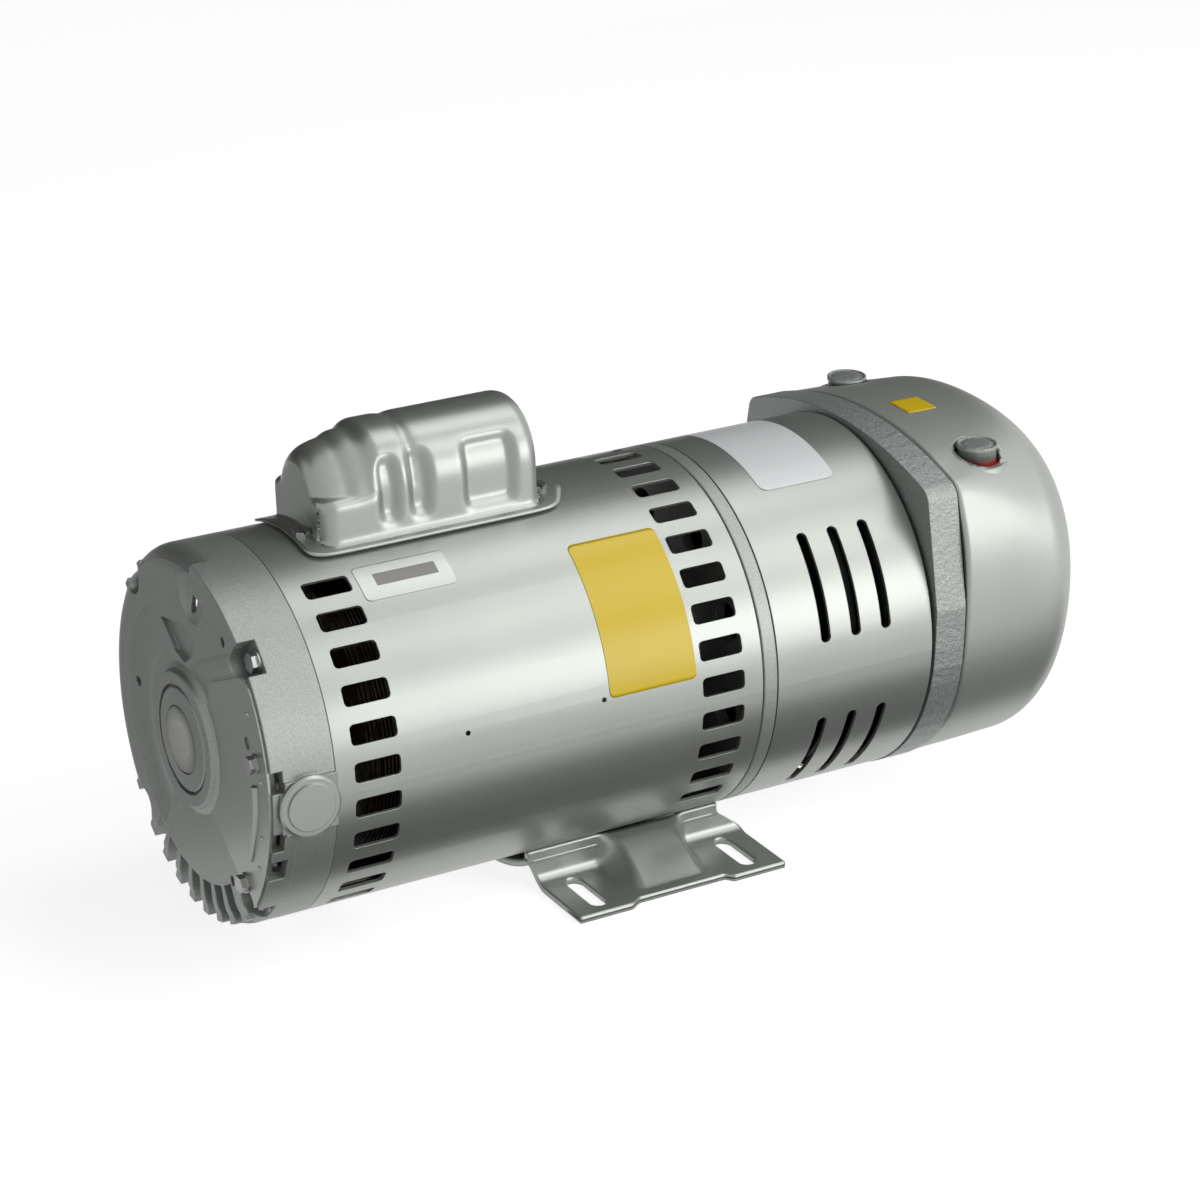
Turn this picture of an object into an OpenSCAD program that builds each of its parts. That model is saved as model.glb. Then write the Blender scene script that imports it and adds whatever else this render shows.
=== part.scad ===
/* [Frame] */
// Height of the shaft centre over the mounting plane
shaft_h = 88.9; // [88:0.1:92]
// Facets of a full circle
facets = 96; // [48:8:128]

/* [Foot] */
// Spacing of the foot slots along the shaft
slot_pitch_y = 76.2; // [74:0.1:78]
// Distance from a slot's centre to the outer edge of its plate
slot_inset = 19.6; // [18:0.1:21]
// Width of one plate of the foot, from its outer edge to the riser
plate_w = 40; // [38:0.5:42]
// Width of a foot slot
slot_w = 8.7; // [8:0.1:9.5]
// Length of the straight part of a foot slot
slot_run = 19.8; // [15:0.1:20]
// Width of the foot over both plates
foot_w = 163; // [162:1:168]
// Length of the foot along the shaft
foot_len = 104; // [102:1:108]
// Thickness of the foot's steel
foot_t = 3; // [2.5:0.1:3.2]
// Height of the pressed bulge between the slots
bulge_h = 15; // [10:0.5:16]
// Depth of the recess in the middle of each outer edge
edge_notch = 3.4; // [2:0.1:4]

/* [Motor shell] */
// Outer radius of the rolled shell and of the castings that meet it
shell_r = 82; // [82:0.1:82.4]
// Thickness of the rolled sheet
sheet_t = 1.6; // [1.2:0.1:1.7]
// Station of the seam between the end bell and the shell
bell_seam_y = -165.5; // [-167:0.5:-165]
// Length of the motor shell
shell_len = 204; // [203:0.5:206]
// Number of vent slots in a full turn
vent_count = 32; // [30:2:32]
// Length of a vent slot along the shaft
vent_len = 21; // [19:0.5:21.5]
// Width of a vent slot around the shell
vent_w = 8.8; // [7:0.1:9.5]
// Corner radius of a vent slot
vent_corner = 1.8; // [1:0.1:2.5]
// Distance from the end bell's seam to the middle of the vents beside it
rear_vent_inset = 18.8; // [18:0.1:20]
// Distance from the pump's seam to the middle of the vents beside it
front_vent_inset = 19.7; // [19:0.1:21]

/* [End bell] */
// Depth of the end bell from its face to its seam
bell_depth = 28.5; // [27:0.5:29]
// Radius of the round edge of the end bell's face
bell_edge_r = 10; // [6:0.5:11]
// Height of the hub over the face
hub_rise = 3.5; // [3:0.5:4]
// Radius of the hub
hub_r = 29.5; // [28:0.5:30]
// Radius of the recess in the hub
hub_recess_r = 24; // [22:0.5:25]
// Thickness of the cast walls
cast_t = 3.5; // [3:0.1:4]
// Depth of the soft hollow around the hub
hollow_t = 1.8; // [1:0.1:2.2]
// Distance of the through bolts' circle from the outside of the shell
tie_inset = 6; // [5.8:0.1:6.5]
// Radius of the through bolts
tie_r = 2.5; // [2.2:0.1:3]
// Pitch angle of the fins on the lower rim
fin_pitch = 10.3; // [9:0.1:10.5]
// Width of the gap between two fins
fin_gap = 8.6; // [7:0.1:9]
// Radial length of a fin
fin_reach = 18.5; // [14:0.5:20]
// Radius of the conduit hole
conduit_r = 11.1; // [10.5:0.1:11.3]
// Distance from the end bell's face to the middle of the conduit hole
conduit_inset = 15.5; // [15:0.5:16]
// Depth of the seat around the conduit hole that holds its plug
conduit_seat_t = 2.5; // [2:0.1:3]

/* [Capacitor cover] */
// Turn of the cover about the shaft, away from the top
cap_turn = 3.5; // [0:0.5:5]
// Radius of the barrel
barrel_r = 25; // [24.5:0.1:25.5]
// Height of the barrel's centre over the top of the shell
barrel_rise = 17; // [16:0.5:18]
// Distance from the end bell's seam to the nose of the cover
cap_start = 28.5; // [27:0.5:30]
// Length of the cover from its nose to the barrel's far end
cap_len = 101; // [98:0.5:104]
// Length of the lower nose
nose_len = 33; // [30:0.5:36]
// Thickness of the pressed sheet
press_t = 1.2; // [0.9:0.1:1.3]

/* [Pump] */
// Length of the shroud between the bracket and the D plate
shroud_len = 80.5; // [79:0.5:82]
// Gap between the shroud and the D plate
shroud_gap = 1.5; // [1:0.1:2]
// Thickness of the D plate
plate_t = 15.5; // [15:0.1:16]
// Radius of the bore that the vanes sweep
bore_r = 46; // [45.9:0.1:46.2]
// Drop of the bore's centre below the shaft
bore_drop = 5; // [4.9:0.05:5]
// Radius of the pump rotor
rotor_r = 40.85; // [40.6:0.05:40.95]
// Length of the pump bore
bore_len = 57.2; // [57.1:0.1:57.3]
// Thickness of a vane
vane_t = 5; // [4.5:0.1:5.2]
// Radial height of a vane
vane_h = 21.5; // [20:0.1:22]
// Inward travel of a vane in its slot
vane_travel = 3; // [2:0.1:3.2]

/* [End cover] */
// Length of the end cover from its rim to its far face
cover_len = 68.5; // [66:0.5:70]
// Wall of the end cover
cover_t = 3.5; // [3:0.1:4]
// Radius of the far edge of the end cover
cover_edge_r = 24; // [22:1:27]
// Height of the arched top over the shaft, at its middle
top_z = 84; // [83.5:0.1:84.5]
// Radius of the arched top
top_r = 194; // [190:1:200]
// Offset of each port from the middle
port_x = 52; // [50:0.5:54]
// Distance from the cover's rim to the middle of the ports
port_inset = 24; // [22:0.5:26]
// Radius of the port thread
port_r = 9.3; // [9.1:0.1:9.4]
// Depth from the outside to the ledge that each port's plug stands on
port_seat_t = 7.5; // [7:0.1:8]
// Depth from the outside to the lower end of each port's thread
port_depth = 17; // [16:0.5:18]

/* [Hidden] */
$fn = facets;

cast_paint = "#9ea29d";
sheet_paint = "#b4b8b3";
steel = "#8d8f92";
bright = "#c9ccd0";
cut = 1;
far = 4 * shell_r;

// Radii and stations that follow the shell
shell_in = shell_r - sheet_t;
register_r = shell_in - 0.1;
ring_in_r = shell_r - 4.7;
wall_in_r = shell_r - 5;
slot_pitch_x = foot_w - 2 * slot_inset;
riser_x = foot_w / 2 - plate_w;
bell_face_y = bell_seam_y - bell_depth;
hub_face_y = bell_face_y - hub_rise;
conduit_y = bell_face_y + conduit_inset;
shell_end_y = bell_seam_y + shell_len;
rear_vent_y = bell_seam_y + rear_vent_inset;
front_vent_y = shell_end_y - front_vent_inset;
bracket_len = 8;
seam_a = 0.8;
seam_b = 0.4;
shroud_y = shell_end_y + bracket_len;
shroud_end_y = shroud_y + shroud_len;
plate_y = shroud_end_y + shroud_gap;
vent_step = 360 / vent_count;

// Fasteners
tie_circle_r = shell_r - tie_inset;
tie_at = tie_circle_r * cos(45);
tie_seat_y = bell_face_y + 8;
tie_head_t = 3.5;
tie_head_r = 4.6;
tie_flange_r = 5.4;
tie_pocket_r = 7.6;
hex_small = 5.5;
screw_r = 3;
bore_clear = 0.2;
thread_fit = 0.02;

// Bearings, shaft and motor
rear_journal_r = 8.5;
rear_bearing_r = 20;
rear_bearing_y = bell_face_y + 4;
rear_bearing_w = 12;
front_journal_r = 10;
front_bearing_r = 23.5;
front_bearing_y = shell_end_y - 2.5;
front_bearing_w = 14;
bearing_lip = 14;
rear_pitch_r = 14.25;
rear_ball_r = 3.2;
front_pitch_r = 16.75;
front_ball_r = 3.9;
ball_clear = 0.15;
core_y = bell_seam_y + 65.5;
core_len = shell_len - 134;
core_end_y = core_y + core_len;
core_shaft_r = 12.7;
gap_r = shell_r - 37;
air_gap = 0.4;
slot_depth = 17.6;
slot_w_core = 5.2;
winding_w = 4.6;
end_turn_r = shell_in - 14.4;
rear_turn_y = core_y - 42;
front_turn_y = core_end_y + 38;
pump_shaft_r = 9.5;
collar_seat_r = 10.5;
governor_y = core_y - 48;
collar_y = core_y - 60;
collar_fit = 0.08;

// Pump
near_t = 10;
body_y = plate_y - bore_len;
near_y = body_y - near_t;
near_r = shell_r - 6;
body_r = bore_r + 12;
body_fin_r = shell_r - 7;
body_fin_count = 7;
body_fin_t = 2.6;
leg_circle_r = shell_r - 16;
leg_r = 7;
leg_screw_r = 2.45;
bolt_circle_r = bore_r + 18;
side_clear = 0.1;
rotor_y = body_y + side_clear;
rotor_len = bore_len - 2 * side_clear;
rotor_sink = 6;
shaft_end_y = rotor_y + rotor_len - rotor_sink - 0.2;
slot_clear = 0.06;
slot_floor_r = rotor_r - vane_h - vane_travel;
key_w = 4.8;
key_fit = 0.05;
fan_y = shroud_y + 7;
fan_len = 7;
fan_r = shell_r - 31;

// End cover
plate_end_y = plate_y + plate_t;
gasket_t = 1;
cover_y = plate_end_y + gasket_t;
cover_end_y = cover_y + cover_len;
rim_corner_r = 8;
end_corner_r = 70;
port_y = cover_y + port_inset;
port_seat_r = port_r + 1.2;
port_boss_r = port_r + 3.5;
port_top_z = top_z - top_r + sqrt(top_r * top_r - port_x * port_x);
cover_bolt_at = [[54, 20], [-54, 20], [40, -38], [-40, -38], [0, 58]];
cover_boss_r = 6.5;
felt_x = 29;
felt_z = 32;
felt_r = 17;
felt_in_r = 8;

// Lays a shape drawn in (across, up, along) on the shaft's axis at a station
module along(y) {
    translate([0, y, shaft_h]) rotate([-90, 0, 0]) mirror([0, 1, 0]) children();
}

// A disc or tube on the shaft's axis
module drum(y, len, r, r_in = 0) {
    along(y) difference() {
        cylinder(h = len, r = r);
        if (r_in > 0) translate([0, 0, -cut]) cylinder(h = len + 2 * cut, r = r_in);
    }
}

// A turned piece from a profile of [radius, station] points
module turned(profile) {
    along(0) rotate_extrude() polygon(profile);
}

// Repeats its children around the shaft
module ring_of(n, first = 0) {
    for (i = [0 : n - 1]) rotate([0, 0, first + i * 360 / n]) children();
}

module hex_head(across_r, h) {
    cylinder(h = h, r = across_r, $fn = 6);
}

function arc_points(cx, cy, r, a0, a1, n) =
    [for (i = [0 : n]) let(a = a0 + (a1 - a0) * i / n) [cx + r * cos(a), cy + r * sin(a)]];

// A point at a radius and an angle about the shaft
function polar(r, a) = [r * cos(a), r * sin(a)];

// Angle of the outer tangent's normal from circle p (radius r) to circle q (radius s)
function tangent_angle(p, r, q, s) =
    let(d = q - p) atan2(d[1], d[0]) - acos((r - s) / norm(d));

function flip_x(points) = [for (i = [len(points) - 1 : -1 : 0]) [-points[i][0], points[i][1]]];

// End-on outline of the pump end: round bottom, shouldered sides, rounded corners and an arched top
function d_outline(inset, corner = rim_corner_r) =
    let(low_r = shell_r + 0.5 - inset,
        side_r = 12,
        side = [shell_r + 0.8 - side_r, 16],
        side_s = max(side_r - inset, 0.5),
        side_in = inset - (side_r - side_s),
        side_c = [side[0] - max(side_in, 0), side[1]],
        crown = [0, top_z - top_r],
        reach = top_r - corner,
        corner_x = shell_r - 16.6 - (corner - rim_corner_r) * 0.86,
        corner_c = [corner_x, crown[1] + sqrt(reach * reach - corner_x * corner_x)],
        corner_s = corner - inset,
        a_low = tangent_angle([0, 0], low_r, side_c, side_s),
        a_side = tangent_angle(side_c, side_s, corner_c, corner_s),
        a_top = atan2(corner_c[1] - crown[1], corner_c[0]),
        right = concat(
            arc_points(0, 0, low_r, -90, a_low, 14),
            arc_points(side_c[0], side_c[1], side_s, a_low, a_side, 3),
            arc_points(corner_c[0], corner_c[1], corner_s, a_side, a_top, 6),
            arc_points(0, crown[1], top_r - inset, a_top, 90, 7)))
    concat(right, [for (i = [1 : len(right) - 2]) flip_x(right)[i]]);

module d_slab(y, len, inset = 0, corner = rim_corner_r) {
    along(y) linear_extrude(len) polygon(d_outline(inset, corner));
}

function round_rect(w, h, r, n = 2) = concat(
    arc_points(w / 2 - r, h / 2 - r, r, 0, 90, n),
    arc_points(r - w / 2, h / 2 - r, r, 90, 180, n),
    arc_points(r - w / 2, r - h / 2, r, 180, 270, n),
    arc_points(w / 2 - r, r - h / 2, r, 270, 360, n));

// A ring sector between two angles, drawn around the shaft
module sector(r_in, r_out, a0, a1, len) {
    rotate([0, 0, a0]) rotate_extrude(angle = a1 - a0) translate([r_in, 0]) square([r_out - r_in, len]);
}

// End bell

disc_r = hub_recess_r - 1.4;
cap_seat_r = 15;
bell_face_t = cast_t + 0.7;
fin_count = 8;
fin_mid = -90.7;
fin_half = 38.3;
fin_root_r = shell_r - fin_reach;
fin_depth = 19;
window_r0 = hub_r + 9.5;
window_r1 = shell_r - 23;
window_half = 36;
pad_r = shell_r + 0.1;
pad_a0 = -50;
pad_a1 = 84;
cover_in_r = hub_r + 3.6;
cover_out_r = shell_r - 1.4;
cover_tilt = 26.4;
cover_top = [29.6, 32];
terminal_screw_at = [polar(shell_r - 11.6, 13.5), polar(shell_r - 12.6, -38.9)];
terminal_screw_r = 1.65;
terminal_screw_len = 6;
small_holes = [polar(shell_r - 26, 176), polar(shell_r - 12, 56.5), polar(shell_r - 19, -53)];
small_hole_r = 2.2;
notch_w = 9;
notch_len = 5.6;

module bell_profile() {
    edge = [for (p = arc_points(shell_r - bell_edge_r, bell_face_y + bell_edge_r, bell_edge_r, 0, -90, 7)) p];
    turned(concat(
        [[ring_in_r, bell_seam_y + 4], [register_r, bell_seam_y + 4], [register_r, bell_seam_y],
            [shell_r - seam_b, bell_seam_y], [shell_r, bell_seam_y - seam_b]],
        edge,
        [[hub_r + 3.5, bell_face_y], [hub_r + 0.8, bell_face_y - 1.5], [hub_r, hub_face_y + 0.6],
            [hub_r - 0.6, hub_face_y], [hub_recess_r, hub_face_y], [hub_recess_r, hub_face_y + 2.5],
            [disc_r, hub_face_y + 2.5], [disc_r, hub_face_y + 0.5], [disc_r - 0.6, hub_face_y + 0.1],
            [cap_seat_r, hub_face_y - 0.4], [cap_seat_r, hub_face_y + 5], [10, hub_face_y + 5],
            [10, rear_bearing_y - 1.2], [rear_bearing_r, rear_bearing_y - 1.2],
            [rear_bearing_r, rear_bearing_y + bearing_lip],
            [rear_bearing_r + 6, rear_bearing_y + bearing_lip],
            [rear_bearing_r + 6, bell_face_y + bell_face_t], [ring_in_r, bell_face_y + bell_face_t]]));
}

// Window and plate outline beside the hub, between two radii
module bean(r_in, r_out, a0, a1, bite) {
    difference() {
        intersection() {
            circle(r = r_out);
            polygon([[0, 0], polar(far, a0), [far, 0], polar(far, a1)]);
        }
        circle(r = r_in);
        for (s = [-1, 1]) translate([tie_at, s * tie_at]) circle(r = bite);
    }
}

// Gaps of the comb of fins on the lower rim
module fin_gaps() {
    along(bell_face_y) for (i = [0 : fin_count - 2]) {
        rotate([0, 0, fin_mid + (i - (fin_count - 2) / 2) * fin_pitch])
            translate([fin_root_r, -fin_gap / 2, -5]) cube([fin_reach + 6, fin_gap, fin_depth + 5]);
    }
}

// Hollows pressed into the face: the soft ring beside the hub, the dish at the top and a ribbed pocket
module face_relief() {
    ring_r = 40;
    ring_mid = shell_r - 32;
    along(bell_face_y - ring_r + hollow_t) {
        rotate([0, 0, 118]) rotate_extrude(angle = 122) translate([ring_mid, 0]) circle(r = ring_r);
    }
    along(bell_face_y - 25.2) rotate([0, 0, 82.5]) translate([shell_r - 14, 0, 0]) sphere(r = 28);
    along(bell_face_y - cut) linear_extrude(cut + 2.4)
        polygon([[-25, 46.4], [-11, 36], [-1, 34], [6.5, 39.4], [10.5, 47], [3.2, 52.5]]);
}

// Outline of the sheet over the terminals, with round upper corners
function cover_outline() = concat(
    arc_points(0, 0, cover_out_r, -41, 35, 22),
    arc_points((cover_out_r - 9) * cos(35), (cover_out_r - 9) * sin(35), 9, 35, 90 + cover_tilt, 5),
    arc_points(cover_top[0], cover_top[1], 4.8, 90 + cover_tilt, 200, 5),
    arc_points(0, 0, cover_in_r, 46, -47, 14));

module end_bell() {
    seat_h = tie_seat_y - bell_face_y + 5;
    color(cast_paint) difference() {
        union() {
            difference() {
                union() {
                    bell_profile();
                    intersection() {
                        along(bell_face_y) rotate([0, 0, cover_tilt]) translate([28.4, 25.9, 8])
                            rotate([0, 90, 0]) cylinder(h = shell_r - hub_r - 10, r = 9.2);
                        drum(bell_face_y - 5, 5 + bell_face_t - 0.3, shell_r - 2);
                    }
                }
                face_relief();
            }
            along(bell_face_y) {
                sector(shell_r - bell_edge_r - 2, shell_r - 3, pad_a0, pad_a1, 4);
                sector(shell_r - 4, pad_r, pad_a0 + 0.2, pad_a1 - 0.2, bell_edge_r + 0.5);
            }
            translate([shell_r - 4, conduit_y - 12, shaft_h - 12]) cube([5, 24.8, 24]);
            translate([shell_r - 4, conduit_y, shaft_h]) rotate([0, 90, 0]) cylinder(h = 5.5, r = 12.8);
            for (y = [-11, 11]) along(bell_face_y + bell_face_t - 0.2) translate([hub_r + 4.9, y, 0])
                cylinder(h = 1.5, r = 2.3);
            along(bell_face_y + 1) {
                sector(fin_root_r - 5, shell_r - 1.5, fin_mid - fin_half, fin_mid + fin_half, fin_depth + 1);
                intersection() {
                    ring_of(4, 45) translate([tie_circle_r, 0, 0]) cylinder(h = 15, r = 12);
                    cylinder(h = 20, r = shell_r - 3);
                }
            }
        }
        fin_gaps();
        along(bell_face_y - 5) {
            for (a = [45 : 90 : 315]) rotate([0, 0, a]) {
                translate([tie_circle_r, 0, 0]) cylinder(h = seat_h, r = tie_pocket_r);
                translate([tie_circle_r, -tie_pocket_r, 0]) cube([12, 2 * tie_pocket_r, seat_h]);
                translate([tie_circle_r, 0, 0]) cylinder(h = 60, r = tie_r + bore_clear);
            }
            linear_extrude(20) bean(window_r0, window_r1, -window_half, window_half, 12);
            for (p = terminal_screw_at) translate([p[0], p[1], 0])
                cylinder(h = 20, r = terminal_screw_r + 0.05);
            for (p = small_holes) translate([p[0], p[1], 0]) cylinder(h = 20, r = small_hole_r);
            rotate([0, 0, 84]) {
                translate([shell_r - 20, 0, 0]) cylinder(h = 20, r = 2.4);
                translate([shell_r - 9.5, 0, 0]) cylinder(h = 20, r = 3.2);
                translate([shell_r - 20, -2.35, 0]) cube([10.5, 4.7, 20]);
            }
            for (a = [8.5, -10.5]) rotate([0, 0, a]) translate([shell_r - 6, -notch_w / 2, 4.5])
                cube([10, notch_w, notch_len]);
            rotate([0, 0, -21]) translate([shell_r - 6, -5.5, 4.5]) cube([10, 11, notch_len + 2]);
        }
        translate([ring_in_r - 6, conduit_y, shaft_h]) rotate([0, 90, 0]) cylinder(h = 40, r = conduit_r);
        translate([shell_r + 1.5 - conduit_seat_t, conduit_y, shaft_h]) rotate([0, 90, 0])
            cylinder(h = 20, r = conduit_r + 0.8);
    }
}

module hub_cap() {
    y = hub_face_y;
    color("#c8c9c2") turned([
        [0, y + 0.6], [5, y + 0.4], [7.5, y - 0.5], [9, y - 0.9], [13.2, y - 0.9], [14, y - 0.6],
        [cap_seat_r - 0.2, y + 0.2], [cap_seat_r - 0.2, y + 5], [9.9, y + 5], [9.9, y + 6.2], [0, y + 6.2]]);
}

module terminal_cover() {
    color(sheet_paint) along(bell_face_y - press_t) difference() {
        union() {
            linear_extrude(press_t) difference() {
                polygon(cover_outline());
                translate([tie_at, -tie_at]) circle(r = 7.9);
            }
            rotate([0, 0, -26]) rotate_extrude(angle = 31) translate([shell_r - 14.5, 0.5])
                circle(r = 2, $fn = 32);
            for (p = [[9, 30], [8, 8], [8, -12], [7, -24]])
                translate(concat(polar(shell_r - p[0], p[1]), [0.3])) sphere(r = 1.1, $fn = 24);
        }
        translate([0, 0, press_t]) cylinder(h = 5, r = shell_r);
        for (p = terminal_screw_at) translate([p[0], p[1], -2]) cylinder(h = 6, r = terminal_screw_r + 0.25);
        translate(concat(polar(shell_r - 16.5, 20.5), [-2])) cylinder(h = 6, r = 2.7);
    }
}

module terminal_cover_screws() {
    color(steel) along(bell_face_y - press_t) for (p = terminal_screw_at) translate([p[0], p[1], 0]) {
        translate([0, 0, -0.9]) cylinder(h = 0.9, r = 4.4);
        translate([0, 0, -3.4]) hex_head(3.8, 2.6);
        cylinder(h = terminal_screw_len, r = terminal_screw_r);
    }
}

module conduit_plug() {
    color(sheet_paint) translate([shell_r + 1.5, conduit_y, shaft_h]) rotate([0, 90, 0]) {
        cylinder(h = 0.6, r = 13.6);
        translate([0, 0, 0.6]) cylinder(h = 0.9, r1 = 13.6, r2 = 12.6);
        cylinder(h = 2.4, r = 10.4);
        translate([0, 0, 0.5 - conduit_seat_t]) cylinder(h = conduit_seat_t, r = conduit_r + 0.6);
    }
}

module terminal_board() {
    board_x = hub_r + 2;
    color("#3b3a36") along(bell_face_y + bell_face_t + 1.3) union() {
        translate([board_x, -27, 0]) cube([shell_r - board_x - 19, 56, 1.6]);
        for (y = [-22 : 9 : 23]) translate([board_x + 16.5, y, 1.6]) cube([7, 0.8, 6]);
    }
}

// Motor shell

function side_list(first, last) = [for (s = [-1, 1]) for (k = [first : last]) 90 + s * (k + 0.5) * vent_step];

module vent(y, a) {
    along(y) rotate([0, 0, a]) translate([shell_in - 3, 0, 0]) rotate([90, 0, 90])
        linear_extrude(10) polygon(round_rect(vent_w, vent_len, vent_corner));
}

module motor_shell() {
    color(sheet_paint) difference() {
        drum(bell_seam_y, shell_len, shell_r, shell_in);
        for (a = side_list(0, 11)) vent(front_vent_y, a);
        for (a = side_list(2, vent_count / 2 - 1)) vent(rear_vent_y, a);
        translate([0, core_y + 10, shaft_h]) cylinder(h = far, r = 9);
        for (y = [core_y - 4.7, core_end_y - 10]) along(y) rotate([0, 0, 9.6]) translate([shell_in - 3, 0, 0])
            rotate([0, 90, 0]) cylinder(h = 10, r = 1.1, $fn = 24);
    }
}

module through_bolts() {
    color(steel) along(tie_seat_y) ring_of(4, 45) translate([tie_circle_r, 0, 0]) {
        translate([0, 0, -1]) cylinder(h = 1, r = tie_flange_r);
        translate([0, 0, -tie_head_t]) rotate([0, 0, 12]) hex_head(tie_head_r, tie_head_t - 0.9);
        cylinder(h = shroud_y - tie_seat_y - 0.5, r = tie_r);
    }
}

module stator_core() {
    color("#74706b") along(core_y) difference() {
        cylinder(h = core_len, r = shell_in);
        translate([0, 0, -cut]) cylinder(h = core_len + 2 * cut, r = gap_r);
        translate([0, 0, -cut]) ring_of(24) translate([gap_r - 2, -slot_w_core / 2, 0])
            cube([slot_depth + 2, slot_w_core, core_len + 2 * cut]);
        translate([0, 0, -cut]) ring_of(4, 45) {
            translate([tie_circle_r, 0, 0]) cylinder(h = core_len + 2 * cut, r = tie_r + 1.5);
            translate([tie_circle_r, -tie_r - 1.5, 0]) cube([8, 2 * tie_r + 3, core_len + 2 * cut]);
        }
    }
}

// End turns at both ends of the core, joined by the bars in its slots
module stator_windings() {
    turn_in_r = gap_r + 2.5;
    gap = 0.4;
    mid_r = end_turn_r - 3.5;
    color("#9a5a2c") union() {
        turned([
            [turn_in_r, core_y - gap], [turn_in_r, rear_turn_y], [mid_r, rear_turn_y],
            [end_turn_r, rear_turn_y + 5], [end_turn_r, core_y - 7], [mid_r, core_y - gap]]);
        turned([
            [turn_in_r, core_end_y + gap], [mid_r, core_end_y + gap], [end_turn_r, core_end_y + 7],
            [end_turn_r, front_turn_y - 5], [mid_r, front_turn_y], [turn_in_r, front_turn_y]]);
        along(core_y - 1) ring_of(24) translate([gap_r + 3, -winding_w / 2, 0])
            cube([12, winding_w, core_len + 2]);
    }
}

// Bearings

module bearing_ring(y, w, r_in, r_out, pitch, ball) {
    along(y) rotate_extrude() difference() {
        translate([r_in, 0]) square([r_out - r_in, w]);
        translate([pitch, w / 2]) circle(r = ball + ball_clear, $fn = 48);
    }
}

module balls(y, w, pitch, ball, n) {
    along(y + w / 2) ring_of(n) translate([pitch, 0, 0]) sphere(r = ball, $fn = 32);
}

module rear_bearing_outer() {
    color(bright) bearing_ring(rear_bearing_y, rear_bearing_w, rear_pitch_r + 2.05, rear_bearing_r,
        rear_pitch_r, rear_ball_r);
}

module rear_bearing_balls() {
    color(bright) balls(rear_bearing_y, rear_bearing_w, rear_pitch_r, rear_ball_r, 8);
}

module rear_bearing_inner() {
    color(bright) bearing_ring(rear_bearing_y, rear_bearing_w, rear_journal_r, rear_pitch_r - 2.05,
        rear_pitch_r, rear_ball_r);
}

module wave_washer() {
    color(steel) drum(rear_bearing_y - 1.2, 1.2, rear_bearing_r - 0.5, rear_pitch_r + 2.25);
}

module front_bearing_outer() {
    color(bright) bearing_ring(front_bearing_y, front_bearing_w, front_pitch_r + 2.45, front_bearing_r,
        front_pitch_r, front_ball_r);
}

module front_bearing_balls() {
    color(bright) balls(front_bearing_y, front_bearing_w, front_pitch_r, front_ball_r, 8);
}

module front_bearing_inner() {
    color(bright) bearing_ring(front_bearing_y, front_bearing_w, front_journal_r, front_pitch_r - 2.45,
        front_pitch_r, front_ball_r);
}

// Starting switch

module switch_board() {
    board_y = rear_bearing_y + bearing_lip;
    color("#5a3b22") union() {
        drum(board_y, 2.5, 38, collar_seat_r + 2.5);
        along(board_y + 2.5) translate([17, -6, 0]) cube([12, 12, 10]);
    }
}

module switch_governor() {
    color(steel) union() {
        drum(governor_y, 4, 25, collar_seat_r);
        along(governor_y + 4) for (a = [0, 180]) rotate([0, 0, a]) translate([13, -9, 0]) cube([11, 18, 8]);
    }
}

module switch_collar() {
    r = collar_seat_r + collar_fit;
    color("#2c2c2c") turned([
        [r, collar_y], [19, collar_y], [19, collar_y + 2.5], [14, collar_y + 3.5], [14, collar_y + 8],
        [r, collar_y + 8]]);
}

// Capacitor cover

cap_y0 = bell_seam_y + cap_start;
cap_y1 = cap_y0 + cap_len;
step_y = cap_y0 + nose_len;
barrel_z = shell_r + barrel_rise;
flange_half = 30.6;
flange_y0 = cap_y0 - 9;
flange_y1 = cap_y1 + 4.5;
lobe_r = 7;
cap_screws = [[8.5, cap_y0 - 5.6], [10.5, cap_y1 + 4]];
cap_screw_r = 1.75;

module cap_frame() {
    translate([0, 0, shaft_h]) rotate([0, -cap_turn, 0]) children();
}

// A lying barrel with a rounded far end and straight sides down to the shell
module cap_barrel(inset) {
    edge = 5;
    y0 = step_y + inset;
    len = cap_y1 - step_y - 2 * inset;
    hull() {
        translate([0, y0, barrel_z]) rotate([-90, 0, 0])
            cylinder(h = len - edge, r = barrel_r - inset, $fn = 40);
        translate([0, y0, barrel_z]) rotate([-90, 0, 0])
            cylinder(h = len, r = barrel_r - inset - edge, $fn = 40);
        translate([inset - barrel_r, y0, shell_r - 8]) cube([2 * (barrel_r - inset), len - 1, 4]);
    }
}

// The nose falls from the barrel to a gable over its end wall
module cap_nose(inset) {
    half = barrel_r - 0.2 - inset;
    ledge = barrel_z - 1;
    y0 = cap_y0 + inset;
    hull() {
        translate([0, step_y + 4, barrel_z - 1]) rotate([-90, 0, 0])
            cylinder(h = 2, r = barrel_r - 0.5 - inset, $fn = 40);
        translate([0, y0 + 18, barrel_z - 2]) rotate([-90, 0, 0])
            cylinder(h = 1, r = barrel_r - 3.5 - inset, $fn = 40);
        translate([0, y0 + 2.5, 0]) rotate([90, 0, 0]) linear_extrude(1) polygon([
            [half, ledge - 2], [half - 7.5, ledge + 5 - inset], [half - 14.5, ledge + 12 - inset],
            [0, ledge + 17 - inset], [14.5 - half, ledge + 12 - inset], [7.5 - half, ledge + 5 - inset],
            [-half, ledge - 2], [-half, shell_r - 8], [half, shell_r - 8]]);
        translate([5 - half, y0 - 0.5, shell_r - 8]) cube([2 * half - 10, 2, 14]);
    }
}

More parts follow.
